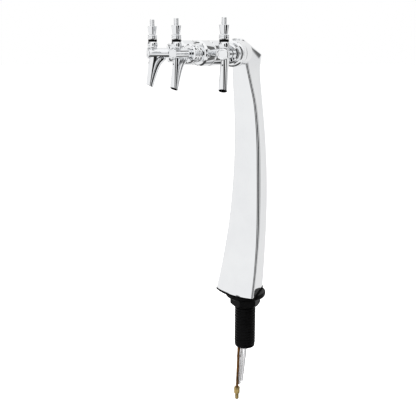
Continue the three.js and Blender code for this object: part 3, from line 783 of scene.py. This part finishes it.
@dataclass
class Hub:
    """The chrome casting whose three tapered arms fan out from the column's head.

    Attributes:
        start: Distance of an arm's root from the column axis.
        shoulder: Distance at which it reaches its full size.
        groove: Distance of the groove behind its end flange.
        end: Distance of its face.
        start_radius: Radius at the root.
        radius: Full radius.
        groove_depth: Depth of the groove.
        bore: Radius of the bore in the face.
    """

    start: float = 32.0
    shoulder: float = 84.0
    groove: float = 122.8
    end: float = TAP_REACH - 55.0
    start_radius: float = 9.0
    radius: float = 24.4
    groove_depth: float = 1.4
    bore: float = 11.3

    def _profile(self) -> list[Pair]:
        """Outline of one arm, from the middle of its back to its bore."""
        low = self.radius - self.groove_depth
        root = [
            (self.start_radius + (self.radius - self.start_radius) * math.sin(math.pi / 2 * k / 8),
             self.start + (self.shoulder - self.start) * k / 8)
            for k in range(9)
        ]
        return [
            (0.0, self.start),
            *root,
            (self.radius, self.groove - 2.0),
            (low, self.groove - 1.2),
            (low, self.groove + 0.6),
            (self.radius - 0.3, self.groove + 1.4),
            (self.radius, self.groove + 3.0),
            (self.radius, self.end - 4.5),
            (self.radius - 2.6, self.end - 1.0),
            (self.radius - 5.0, self.end),
            (self.bore, self.end),
            (self.bore, self.end - 6.0),
            (0.0, self.end - 6.0),
        ]

    def build(self) -> bpy.types.Object:
        """Builds the casting as three arms in one piece.

        Returns:
            The piece.
        """
        casting = bmesh.new()
        for angle in TAP_ANGLES:
            arm = turned(self._profile(), Axis.FORWARD, ease=0.6, count=96)
            place = Matrix.Translation((0.0, 0.0, TAP_HEIGHT * MM)) @ Matrix.Rotation(angle, 4, "Z")
            bmesh.ops.transform(arm, matrix=place, verts=arm.verts)
            part = bpy.data.meshes.new("arm")
            arm.to_mesh(part)
            arm.free()
            casting.from_mesh(part)
            bpy.data.meshes.remove(part)
        piece = finished("hub", casting, Slot.CHROME)
        return stand_for(piece, "tower", Slot.CHROME, "three_way_hub")


# ---------------------------------------------------------------- taps


BORE_RINGS = 9  # rings of a spout that lie in its bore, counted from the bore's end


@dataclass
class Tap:
    """One lever tap, built about its lever axis at the height of its barrel axis.

    Attributes:
        number: 1, 2 or 3, from the tower's left to its right.
        angle: Angle of the tap about the column axis.
        barrel: Radius of the barrel.
        flange: Radius of the barrel's back flange.
        back: Distance of the barrel's back behind the lever axis, as a negative number.
        front: Distance of the barrel's front.
        cap: Radius of the front cap.
        pivot: Height of the lever's ball above the barrel axis.
        dome: Radius of the bonnet's dome.
        stud: Radius of the threaded stud.
        stud_top: Height of the stud's tip.
        nut: Radius of the coupling nut.
        collar: Radius of the tap shank's collar.
    """

    number: int
    angle: float
    barrel: float = 9.3
    flange: float = 14.2
    back: float = -35.5
    front: float = 8.0
    cap: float = 10.4
    pivot: float = 16.0
    dome: float = 10.4
    stud: float = 4.75
    stud_top: float = 64.7
    nut: float = 18.0
    collar: float = 17.0
    spout: tuple[tuple[Pair, Pair, float], ...] = (
        ((14.3, -61.4), (1.2, -68.4), 8.1),
        ((12.4, -46), (-5.6, -48), 7.7),
        ((10.7, -32), (-11.5, -33), 7.4),
        ((9.5, -22), (-18, -21), 7.2),
        ((8, -13), (-26, -13), 7),
        ((6.4, -3), (-29, -4), 6.6),
    )

    def build(self) -> None:
        """Builds the tap's pieces and fastens them to their bodies."""
        for make in (
            self._body, self._front_cap, self._bonnet, self._coupling_nut, self._shank,
            self._ring, self._collar, self._ferrule, self._lever,
        ):
            make()

    @property
    def place(self) -> Matrix:
        """Where the tap's own frame stands, in metres."""
        turn = Matrix.Rotation(self.angle, 4, "Z")
        return turn @ Matrix.Translation((0.0, -TAP_REACH * MM, TAP_HEIGHT * MM))

    def _fit(self, piece: bpy.types.Object, body: str, slot: Slot, node: str) -> bpy.types.Object:
        """Moves a piece's mesh to the tap's place and fastens it."""
        piece.data.transform(self.place)
        return stand_for(piece, body, slot, f"{node}_{self.number}")

    def _spout_rings(self) -> list[Ring]:
        """Rings of the spout: up the bore, round the rim and over the outside."""
        line = StationLine(self.spout)
        steps, count, wall = 40, 40, 1.6

        def ring(share: float, inset: float, drop: float = 0.0) -> Ring:
            """One oval ring of the spout."""
            station = line.at(share)
            half = station.depth / 2
            points = []
            for k in range(count):
                turn = 2 * math.pi * k / count
                across = (station.half_width - inset) * math.sin(turn)
                points.append(station.place(across, half - (half - inset) * math.cos(turn)))
            outward = (line.at(0.0).place(0, half) - line.at(0.1).place(0, half)).normalized()
            return [point + outward * drop for point in points]

        inner = [ring(share / 10, wall) for share in range(6, 1, -1)]
        closed = [[sum(inner[0], Vector()) / count] * count]
        rim = [ring(0, 1.2, -3.0), ring(0, 0.7, -0.6), ring(0, 0.5, -0.1), ring(0, 0.35, 0)]
        rim += [ring(0, 0.08, -0.1), ring(0, 0, -0.4)]
        outer = [ring(k / steps, 0) for k in range(1, steps + 1)]
        top = [[sum(outer[-1], Vector()) / count] * count]
        return closed + inner + rim + outer + top

    def _body(self) -> None:
        """Barrel with its back flange, the boss under the bonnet, and the spout, whose bore gets painted
        shade.
        """
        flange_front = self.back + 3.0
        barrel = turned(
            [(0, self.back), (self.flange, self.back), (self.flange, flange_front),
             (self.barrel + 0.6, flange_front),
             (self.barrel, flange_front + 2), (self.barrel, self.front), (0, self.front)],
            Axis.FORWARD, ease=0.5,
        )
        neck = self.barrel - 1.2
        boss = turned([(0, 0), (neck, 4), (neck, 8.6), (8.9, 9.2), (8.9, 10.5), (0, 10.5)], Axis.UP, ease=0.4)
        rings = self._spout_rings()
        mesh = skin(rings)
        # Painted shade: the rings inside the spout's bore get the attribute that paints their base colour
        # near black.
        inside = mesh.verts.layers.float.new(PAINTED_BORE_SHADE)
        bore = {(point * MM).to_tuple(6) for ring in rings[:BORE_RINGS] for point in ring}
        for vert in mesh.verts:
            vert[inside] = float(vert.co.to_tuple(6) in bore)
        spout = finished(f"tap_body_{self.number}", mesh, Slot.CHROME)
        vent = rod_cutter(1.5, 9, Matrix.Translation((0, -10, -19)) @ Matrix.Rotation(math.pi / 2, 4, "X"))
        cut_away(spout, [vent])
        whole = bmesh.new()
        whole.from_mesh(spout.data)
        for part in (barrel, boss):
            data = bpy.data.meshes.new("part")
            part.to_mesh(data)
            part.free()
            whole.from_mesh(data)
            bpy.data.meshes.remove(data)
        for face in whole.faces:
            face.material_index = 0
        whole.to_mesh(spout.data)
        whole.free()
        spout.data.shade_smooth()
        spout.data.set_sharp_from_angle(angle=math.radians(35))
        self._fit(spout, "tower", Slot.CHROME, "tap_body")

    def _front_cap(self) -> None:
        """Round cap on the front of the barrel, with a raised rim."""
        back = self.front + 0.3
        profile = [(0, back), (self.cap, back), (self.cap, back + 1.8), (self.cap - 1.3, back + 2.7),
                   (self.cap - 2.6, back + 2.7), (self.cap - 3.4, back + 2.2),
                   (3.0, back + 2.6), (0, back + 2.9)]
        piece = finished(f"front_cap_{self.number}", turned(profile, Axis.FORWARD, ease=0.35), Slot.CHROME)
        self._fit(piece, "tower", Slot.CHROME, "front_cap")

    def _dome_arc(self, radius: float, start: float, end: float, steps: int) -> list[Pair]:
        """Arc about the pivot, between two angles above its level."""
        angles = [start + (end - start) * k / steps for k in range(steps + 1)]
        return [(radius * math.cos(a), self.pivot + radius * math.sin(a)) for a in angles]

    def _bonnet(self) -> None:
        """Domed bonnet with the slot for the stem and four spanner holes."""
        bottom, mouth, hollow = 10.8, 3.5, 6.6
        arc = self._dome_arc(self.dome, -math.acos(9 / self.dome), math.acos(mouth / self.dome), 26)
        inside = self._dome_arc(hollow, math.acos(mouth / hollow), -math.acos(5.6 / hollow), 16)
        profile = [(5.6, bottom), (8.6, bottom), (9.0, bottom + 0.35), *arc, *inside, (5.6, bottom)]
        piece = finished(f"bonnet_{self.number}", turned(profile, Axis.UP, ease=0), Slot.CHROME)
        swing = math.radians(22)
        slot = Matrix.Translation((0, 0, self.pivot)) @ Matrix.Rotation(swing, 4, "X")
        cutters = [box_cutter((2 * mouth, 8.6, 16), slot @ Matrix.Translation((0, -0.6, 8)))]
        for k in range(4):
            turn = Matrix.Rotation(math.radians(35 + 90 * k), 4, "Z")
            side = Matrix.Translation((0, 0, self.pivot - 1.5)) @ turn
            reach = Matrix.Translation((0, -self.dome, 0)) @ Matrix.Rotation(math.pi / 2, 4, "X")
            cutters.append(rod_cutter(1.3, 3.4, side @ reach))
        cut_away(piece, cutters)
        self._fit(piece, "tower", Slot.CHROME, "bonnet")

    def _ring(self) -> None:
        """Black friction ring, cupped to slide over the dome."""
        cup, outer, inner, top = self.dome + 0.3, 8.8, 3.3, 26.5
        arc = self._dome_arc(cup, math.acos(inner / cup), math.acos(outer / cup), 8)
        profile = [*arc, (outer, top - 0.3), (outer - 0.3, top), (inner, top), arc[0]]
        piece = finished(f"friction_ring_{self.number}", turned(profile, Axis.UP, ease=0), Slot.BLACK_NYLON)
        self._fit(piece, f"lever_{self.number}", Slot.BLACK_NYLON, "friction_ring")

    def _collar(self) -> None:
        """Collar on the stud, with a groove round its waist."""
        inner = self.stud + 0.2
        profile = [(inner, 27.3), (8.9, 27.3), (9.25, 27.7), (9.25, 30.3), (8.5, 30.9), (8.5, 31.5),
                   (9.25, 32.1),
                   (9.25, 33.6), (7.4, 35.1), (inner, 35.1), (inner, 27.3)]
        piece = finished(f"lever_collar_{self.number}", turned(profile, Axis.UP, ease=0.3), Slot.CHROME)
        self._fit(piece, f"lever_{self.number}", Slot.CHROME, "lever_collar")

    def _ferrule(self) -> None:
        """Flared ferrule with a lip at its top."""
        inner = self.stud + 0.2
        profile = [(inner, 35.4), (6.7, 35.4), (7.0, 36.2), (8.0, 43), (9.2, 50.2), (9.4, 51.2), (8.9, 51.7),
                   (7.6, 51.7), (7.0, 51.0), (inner, 51.0), (inner, 35.4)]
        piece = finished(f"ferrule_{self.number}", turned(profile, Axis.UP, ease=0.3), Slot.CHROME)
        self._fit(piece, f"lever_{self.number}", Slot.CHROME, "ferrule")

    def _lever(self) -> None:
        """Lever from its tail up through the ball and stem to the threaded stud."""
        count = 40
        tail = [(0, -2.4), (1.7, -1.7), (2.4, 0), (1.7, 1.7), (1.3, 3)]
        ball = self._dome_arc(6.3, -math.acos(1.3 / 6.3), math.acos(3 / 6.3), 20)
        stem = [(3.0, 26.6), (4.2, 27.0)]
        rings = [ring_at(radius, height, Axis.UP, count) for radius, height in (*tail, *ball, *stem)]
        rings += thread_rings(self.stud, 0.2, 1.59, 27.2, self.stud_top - 1.0, count)
        for radius, height in ((self.stud - 0.5, self.stud_top - 0.5), (self.stud - 1.0, self.stud_top),
                               (2.0, self.stud_top), (1.6, self.stud_top - 0.4), (0, self.stud_top - 0.7)):
            rings.append(ring_at(radius, height, Axis.UP, count))
        piece = finished(f"lever_{self.number}", skin(rings), Slot.CHROME, sharp=55)
        self._fit(piece, f"lever_{self.number}", Slot.CHROME, "lever")

    def _coupling_nut(self) -> None:
        """Coupling nut with rounded shoulders and four spanner notches."""
        inner, front, back = self.flange + 0.3, -30.5, -43.0
        profile = [(inner, back), (self.nut - 1, back), (self.nut, back + 1), (self.nut, -39.6),
                   (self.nut - 1.1, -38.8), (self.nut - 1.1, -37.9), (self.nut, -37.1), (self.nut, -32.6),
                   (self.nut - 2.4, front), (9.7, front), (9.7, -32.2), (inner, -32.2), (inner, back)]
        ring = turned(profile, Axis.FORWARD, ease=0.4, count=96)
        piece = finished(f"coupling_nut_{self.number}", ring, Slot.CHROME)
        cutters = []
        for k in range(4):
            turn = Matrix.Rotation(math.pi / 4 + k * math.pi / 2, 4, "Y")
            cutters.append(box_cutter((5, 3.6, 4), turn @ Matrix.Translation((0, 34.9, self.nut + 0.7))))
        cut_away(piece, cutters)
        self._fit(piece, "tower", Slot.CHROME, "coupling_nut")

    def _shank(self) -> None:
        """Tap shank: its nose in the nut, the collar against the arm and its tail in the arm's bore."""
        back, front = TAP_REACH - 132.7, -43.3
        profile = [(3, -70), (11, -70), (11, -back), (15.6, -back), (self.collar, 1.4 - back),
                   (self.collar, -47.4), (self.collar - 1.6, -46.4), (self.collar - 1.6, -45.2),
                   (self.collar, -44.4), (self.collar - 0.6, front), (self.flange, front),
                   (self.flange, -36.1),
                   (9.4, -36.1), (9.4, -50), (3, -50), (3, -70)]
        piece = finished(f"tap_shank_{self.number}", turned(profile, Axis.FORWARD, ease=0.35), Slot.CHROME)
        self._fit(piece, "tower", Slot.CHROME, "tap_shank")


# ---------------------------------------------------------------- bar clamp


@dataclass
class BarClamp:
    """The threaded shank with the washer and nut that clamp the tower to a bar top.

    Attributes:
        crest: Radius over the crests of the shank's thread.
        bore: Radius of the shank's bore.
        pitch: Pitch of the thread.
        depth: Depth of the thread.
        length: Length of the shank below the bar top.
        washer: Radius of the washer.
        across_flats: Width of the nut.
    """

    crest: float = 23.9
    bore: float = 18.8
    pitch: float = 6.6
    depth: float = 2.0
    length: float = 136.0
    washer: float = 45.5
    across_flats: float = 61.0

    def build(self) -> None:
        """Builds the three pieces."""
        self._shank()
        self._washer()
        self._nut()

    def _shank(self) -> None:
        """Hollow shank with its thread, a rounded end and the flange inside the column."""
        count = 96
        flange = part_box("threaded_shank")[1].z / MM - 4.0
        edge = self.length

        def rings(profile: Sequence[Pair]) -> list[Ring]:
            """Plain rings of a profile."""
            return [ring_at(radius, height, Axis.UP, count) for radius, height in profile]

        end = rings([(self.bore, flange + 4), (self.bore, 0.8 - edge), (self.bore + 0.6, -edge),
                     (self.crest - 3, -edge),
                     (self.crest - 2.1, 0.5 - edge), (self.crest - 1.3, 1.8 - edge),
                     (self.crest - 0.8, 3.4 - edge)])
        thread = thread_rings(self.crest, self.depth, self.pitch, 3.8 - edge, flange - 1.5, count)
        top = rings([(self.crest, flange - 0.5), (self.crest, flange), (26.4, flange), (26.8, flange + 0.4),
                     (26.8, flange + 3.6), (26.4, flange + 4), (self.bore, flange + 4)])
        piece = finished("threaded_shank", skin(end + thread + top), Slot.BLACK_NYLON, sharp=50)
        stand_for(piece, "tower", Slot.BLACK_NYLON, "threaded_shank")

    def _washer(self) -> None:
        """Thick washer with a rounded edge, a groove below and a raised boss round its bore."""
        low, high = (corner.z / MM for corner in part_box("clamp_washer"))
        hole = self.crest + 0.5
        profile = [(hole, low), (34, low), (35, low + 0.9), (38, low + 0.9), (39, low), (41, low),
                   (44.1, low + 2.4), (self.washer, low + 6), (self.washer, high - 1.6),
                   (self.washer - 1.2, high),
                   (hole, high), (hole, low)]
        piece = finished("clamp_washer", turned(profile, Axis.UP, ease=0.7, count=96), Slot.BLACK_NYLON)
        stand_for(piece, "clamp_washer", Slot.BLACK_NYLON, "clamp_washer")

    def _nut(self) -> None:
        """Hexagon nut with turned-down corners and a bevelled bore."""
        low, high = (corner.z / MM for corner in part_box("clamp_nut"))
        flat, corner = self.across_flats / 2, self.across_flats / 2 / math.cos(math.pi / 6)
        hole = self.crest + 0.5
        profile = [(hole, high - 1), (hole, low + 1.4), (hole + 1.4, low), (flat - 2.2, low),
                   (flat - 1.2, low + 0.1)]
        profile += [(flat - 1.2 + (corner - flat + 0.7) * (k / 8) ** 0.8, low + 0.1 + 4.2 * k / 8)
                    for k in range(1, 9)]
        profile += [(corner - 0.5, low + 4.3 + (high - low - 7) * k / 4) for k in range(1, 5)]
        profile += [(corner - 0.5 - (corner - flat) * (k / 5) ** 1.3, high - 2.7 + 2.7 * k / 5)
                    for k in range(1, 6)]
        profile += [(hole + 1, high), (hole, high - 1)]
        mesh = chamfered_hexagon(self.across_flats, profile, math.radians(51))
        piece = finished("clamp_nut", mesh, Slot.BLACK_NYLON, sharp=25)
        stand_for(piece, "clamp_nut", Slot.BLACK_NYLON, "clamp_nut")


# ---------------------------------------------------------------- tubes


@dataclass
class Plumbing:
    """The product lines and the cooling loop that run down the column and out of the shank.

    Attributes:
        line_radius: Outer radius of a product line.
        cooling_radius: Outer radius of the cooling loop.
        wall: Wall of both.
        shank_end: Height of the shank's lower end.
    """

    line_radius: float = 3.0
    cooling_radius: float = 3.2
    wall: float = 0.8
    shank_end: float = -136.0

    def build(self, column: Column) -> None:
        """Builds the lines, the loop and its union.

        Args:
            column: The column that they run in.
        """
        self._line(column, 0, (-18.5, -0.4, -225), (-11.6, 5.2), (-7.4, 15))
        self._line(column, 1, (-10, -5.8, -238), (-6.1, -0.4), (-1, 12.5))
        self._line(column, 2, (-2.2, -6.4, -226), (2.4, 0.8), (6.3, 11))
        self._loop(column, (-10.5, -13.3, -242), (-16.4, -4.3, -172))
        self._union((-10.5, -13.3, -242))

    def _riser(self, column: Column, end: Sequence[float], shank: Pair, head: Pair,
               top: float) -> list[Vector]:
        """Route from a free end up through the shank and the column.

        Args:
            column: The column that the tube runs in.
            end: The free end.
            shank: Place across and behind in the shank.
            head: Place across and behind near the column's head.
            top: Share of the column's length where the rise ends.

        Returns:
            The points that the route passes.
        """
        heights = (self.shank_end, self.shank_end / 2, 10.0)
        points = [Vector(end), *(Vector((*shank, height)) for height in heights)]
        for share in (0.2, 0.3, 0.4, 0.5, 0.6, top):
            station = column.line.at(share)
            settle = min((share - 0.1) / 0.4, 1.0)
            low = station.place(shank[0], shank[1] + station.front.x + 2)
            points.append(low.lerp(station.place(head[0], head[1] + column.wall), settle))
        return points

    def _line(self, column: Column, index: int, end: Sequence[float], shank: Pair, head: Pair) -> None:
        """One stainless product line up to its tap's shank."""
        points = self._riser(column, end, shank, head, 0.7)
        angle = TAP_ANGLES[index]
        points.append(Vector((head[0], -14.0, TAP_HEIGHT - 18)))
        points.append(Vector((24 * math.sin(angle), -36.0, TAP_HEIGHT - 2)))
        for reach in (66.0, 90.0, TAP_REACH - 70.3):
            points.append(Vector((reach * math.sin(angle), -reach * math.cos(angle), TAP_HEIGHT)))
        name = f"product_line_{index + 1}"
        piece = finished(name, tube(smooth_route(points, 8), self.line_radius, self.wall), Slot.STAINLESS)
        stand_for(piece, "tower", Slot.STAINLESS, name)

    def _loop(self, column: Column, end: Sequence[float], return_end: Sequence[float]) -> None:
        """The browned copper loop, from its union up, over and down again."""
        feed = self._riser(column, end, (-9, -10.3), (-1, 4), 0.66)
        back = self._riser(column, return_end, (-13.9, -2.4), (-11.3, 8), 0.66)[::-1]
        bend = feed[-1].lerp(back[0], 0.5) + Vector((0, 0, 7))
        route = smooth_route([*feed, bend, *back], 8)
        piece = finished("cooling_loop", tube(route, self.cooling_radius, self.wall), Slot.COPPER)
        stand_for(piece, "tower", Slot.COPPER, "cooling_loop")

    def _union(self, end: Sequence[float]) -> None:
        """Brass flare nut with a turned nose."""
        nut = [(0, -0.3), (5.6, -0.3), (6.8, -1.4), (7.4, -2.8), (7.4, -14), (6.8, -16), (5.8, -17.3),
               (0, -17.3)]
        mesh = chamfered_hexagon(12.8, nut[::-1], 0.0)
        nose = turned([(0, -5), (4.6, -5), (4.6, -18.8), (4.0, -19.6), (4.0, -21), (4.6, -21.8), (4.6, -29.6),
                       (3.8, -31.3), (2.4, -31.3), (2.4, -26), (0, -26)], Axis.UP, ease=0.25, count=32)
        data = bpy.data.meshes.new("nose")
        nose.to_mesh(data)
        nose.free()
        mesh.from_mesh(data)
        bpy.data.meshes.remove(data)
        bmesh.ops.translate(mesh, vec=Vector(end) * MM, verts=mesh.verts)
        piece = finished("cooling_union", mesh, Slot.BRASS, sharp=25)
        stand_for(piece, "tower", Slot.BRASS, "cooling_union")


# ---------------------------------------------------------------- studio


@dataclass(frozen=True)
class Direction:
    """A direction as node sockets: its turn from -Y towards +X and the sine of its lift, both signed."""

    turn: Socket
    lift: Socket


@dataclass(frozen=True)
class Gap:
    """A dark gap in the tent.

    Attributes:
        turn: Its middle, in degrees right of the camera as seen from the object.
        half_width: Half its width, in degrees.
        low: Lift of its lower edge, in degrees.
        high: Lift of its upper edge, in degrees.
        darkness: 1 for black, 0 for white.
    """

    turn: float
    half_width: float
    low: float
    high: float
    darkness: float


class Tent:
    """Builds the light of a studio tent in a world's nodes."""

    def __init__(self, tree: bpy.types.NodeTree) -> None:
        """Keeps the world's node tree."""
        self.tree = tree
        self.nodes = tree.nodes

    def math(self, operation: str, *values: float | Socket) -> Socket:
        """Adds one sum.

        Args:
            operation: Name of the operation.
            values: Numbers or sockets.

        Returns:
            The result's socket.
        """
        node = self.nodes.new("ShaderNodeMath")
        node.operation = operation
        for socket, value in zip(node.inputs, values):
            if isinstance(value, (int, float)):
                socket.default_value = value
            else:
                self.tree.links.new(value, socket)
        return node.outputs[0]

    def direction(self) -> Direction:
        """Reads the direction looked in."""
        place = self.nodes.new("ShaderNodeTexCoord").outputs["Generated"]
        parts = self.nodes.new("ShaderNodeSeparateXYZ")
        self.tree.links.new(place, parts.inputs[0])
        back = self.math("MULTIPLY", parts.outputs[1], -1.0)
        return Direction(self.math("ARCTAN2", parts.outputs[0], back), parts.outputs[2])

    def spread(self, value: Socket, low: float, high: float, at_low: float, at_high: float) -> Socket:
        """Maps a value smoothly from one range to another."""
        node = self.nodes.new("ShaderNodeMapRange")
        node.interpolation_type = "SMOOTHSTEP"
        for name, number in (("From Min", low), ("From Max", high), ("To Min", at_low), ("To Max", at_high)):
            node.inputs[name].default_value = number
        self.tree.links.new(value, node.inputs["Value"])
        return node.outputs["Result"]

    def patch(self, turn: Socket, lift: Socket, gap: Gap) -> Socket:
        """Adds the darkness of one gap.

        Args:
            turn: Socket with the turn, in radians.
            lift: Socket with the sine of the lift.
            gap: The gap.

        Returns:
            A socket that holds the gap's darkness inside it and 0 outside it.
        """
        off = self.math("WRAP", self.math("SUBTRACT", turn, math.radians(gap.turn)), math.pi, -math.pi)
        across = self.math("DIVIDE", off, math.radians(gap.half_width))
        rise = self.math("SUBTRACT", self.math("ARCSINE", lift), math.radians((gap.low + gap.high) / 2))
        up = self.math("DIVIDE", rise, math.radians((gap.high - gap.low) / 2))
        span = self.math("ADD", self.math("POWER", self.math("ABSOLUTE", across), 4.0),
                         self.math("POWER", self.math("ABSOLUTE", up), 4.0))
        return self.spread(span, 0.7, 1.5, gap.darkness, 0.0)

    def light(self, value: Socket) -> None:
        """Lights the world with a grey of a given value."""
        self.tree.links.new(value, self.nodes["Background"].inputs["Color"])


@dataclass(frozen=True)
class Studio:
    """Camera, lights, floor and surroundings.

    Attributes:
        distance: Camera's distance from the shank's axis, in metres.
        azimuth: Camera's place round that axis, in degrees from -Y towards +X.
        height: Camera's height, in metres.
        heading: Direction it looks in, in degrees from +Y towards -X.
        tilt: Degrees that it looks down.
        lens: Focal length in millimetres on a 36 mm frame.
        floor_drop: Floor's depth below the object, in metres.
    """

    distance: float = 1.443
    azimuth: float = 41.64
    height: float = 0.552
    heading: float = 45.03
    tilt: float = 14.03
    lens: float = 58.15
    floor_drop: float = 0.25
    gaps: tuple[Gap, ...] = (
        Gap(58, 22, -36, 40, 0.99),
        Gap(12, 11, -25, 30, 0.98),
        Gap(112, 10, -60, 70, 0.85),
        Gap(-112, 26, 10, 44, 0.85),
        Gap(-110, 25, -70, -36, 0.9),
        Gap(150, 40, -70, 75, 0.13),
        Gap(-164, 10, -40, 24, 0.9),
        Gap(-62, 5, 12, 80, 0.85),
    )

    def build(self) -> None:
        """Sets up the whole studio."""
        self._camera()
        self._floor()
        self._surroundings()
        self._lights()
        bpy.context.scene.view_settings.view_transform = "Standard"

    def _camera(self) -> None:
        """Places the camera at the viewing angle."""
        data = bpy.data.cameras.new("camera")
        data.lens = self.lens
        camera = bpy.data.objects.new("camera", data)
        side = math.radians(self.azimuth)
        camera.location = (self.distance * math.sin(side), -self.distance * math.cos(side), self.height)
        camera.rotation_euler = (math.radians(90 - self.tilt), 0.0, math.radians(self.heading))
        bpy.context.scene.collection.objects.link(camera)
        bpy.context.scene.camera = camera

    def _floor(self) -> None:
        """Lays a wide pale floor."""
        mesh = bmesh.new()
        bmesh.ops.create_circle(mesh, cap_ends=True, segments=96, radius=30.0)
        data = bpy.data.meshes.new("floor")
        mesh.to_mesh(data)
        mesh.free()
        paint = bpy.data.materials.new("floor_paint")
        paint.use_nodes = True
        nodes, links = paint.node_tree.nodes, paint.node_tree.links
        shader = nodes["Principled BSDF"]
        shader.inputs["Roughness"].default_value = 0.9
        shader.inputs["Specular IOR Level"].default_value = 0.0
        shader.inputs["Emission Color"].default_value = (1.0, 1.0, 1.0, 1.0)
        shader.inputs["Emission Strength"].default_value = 0.3
        noise = nodes.new("ShaderNodeTexNoise")
        noise.inputs["Scale"].default_value = 0.6
        tint = nodes.new("ShaderNodeMix")
        tint.data_type = "RGBA"
        tint.inputs["A"].default_value = (0.93, 0.93, 0.93, 1.0)
        tint.inputs["B"].default_value = (0.95, 0.95, 0.95, 1.0)
        links.new(noise.outputs["Fac"], tint.inputs["Factor"])
        links.new(tint.outputs["Result"], shader.inputs["Base Color"])
        data.materials.append(paint)
        floor = bpy.data.objects.new("floor", data)
        floor.location.z = CAD_BOX[0].z - self.floor_drop
        floor.visible_glossy = False
        bpy.context.scene.collection.objects.link(floor)

    def _surroundings(self) -> None:
        """Surrounds the object with a white tent that has dark gaps, as polished metal shows them."""
        world = bpy.data.worlds.new("studio")
        world.use_nodes = True
        bpy.context.scene.world = world
        tent = Tent(world.node_tree)
        here = math.radians(self.azimuth)
        direction = tent.direction()
        turn = tent.math("WRAP", tent.math("SUBTRACT", direction.turn, here), math.pi, -math.pi)
        lift = direction.lift
        dark = tent.spread(lift, -0.72, -0.86, 0.0, 0.93)
        for gap in self.gaps:
            dark = tent.math("MAXIMUM", dark, tent.patch(turn, lift, gap))
        lit = tent.math("SUBTRACT", 1.0, dark)
        shade = tent.math("MULTIPLY", lit, tent.spread(lift, -0.1, 0.9, 0.98, 1.12))
        rays = tent.nodes.new("ShaderNodeLightPath").outputs["Is Glossy Ray"]
        tent.light(tent.math("ADD", tent.math("MULTIPLY", rays, shade), tent.math("SUBTRACT", 1.0, rays)))

    def _lights(self) -> None:
        """Hangs a large soft light overhead, one at the front left and one behind."""
        lamps = (
            ("key", (-1.6, -1.4, 1.6), 1.8, 26.0),
            ("back", (0.4, 2.0, 1.2), 2.0, 20.0),
            ("top", (0.2, -0.2, 2.6), 2.4, 30.0),
        )
        for name, place, size, power in lamps:
            data = bpy.data.lights.new(name, "AREA")
            data.shape = "SQUARE"
            data.size = size
            data.energy = power
            lamp = bpy.data.objects.new(name, data)
            lamp.location = place
            lamp.visible_glossy = False
            aim = Vector((0.0, -0.05, 0.25)) - Vector(place)
            lamp.rotation_euler = aim.to_track_quat("-Z", "Y").to_euler()
            bpy.context.scene.collection.objects.link(lamp)


# ---------------------------------------------------------------- the whole


HIDDEN_PARTS: dict[Slot, tuple[str, ...]] = {
    Slot.ZINC: ("base_plate", "base_screw_1", "base_screw_2", "base_screw_3"),
    Slot.STAINLESS: ("valve_shaft_1", "valve_shaft_2", "valve_shaft_3"),
    Slot.BLACK_RUBBER: ("seat_washer_1", "seat_washer_2", "seat_washer_3"),
}


def dress_hidden_parts() -> None:
    """Gives the CAD nodes that stay inside the object their finishes."""
    for slot, names in HIDDEN_PARTS.items():
        for name in names:
            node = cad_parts[name]
            node.data.materials.clear()
            node.data.materials.append(FINISHES[slot].material())
            LOG.info("%s: CAD node in %s", name, slot.value)


def main() -> None:
    """Builds the studio and every piece of the tower."""
    logging.basicConfig(level=logging.INFO, format="%(message)s")
    Studio().build()
    column = Column()
    column.build()
    Gasket().build(column)
    Hub().build()
    for number, angle in enumerate(TAP_ANGLES, start=1):
        Tap(number, angle).build()
    BarClamp().build()
    Plumbing().build(column)
    dress_hidden_parts()


if __name__ == "__main__":
    main()
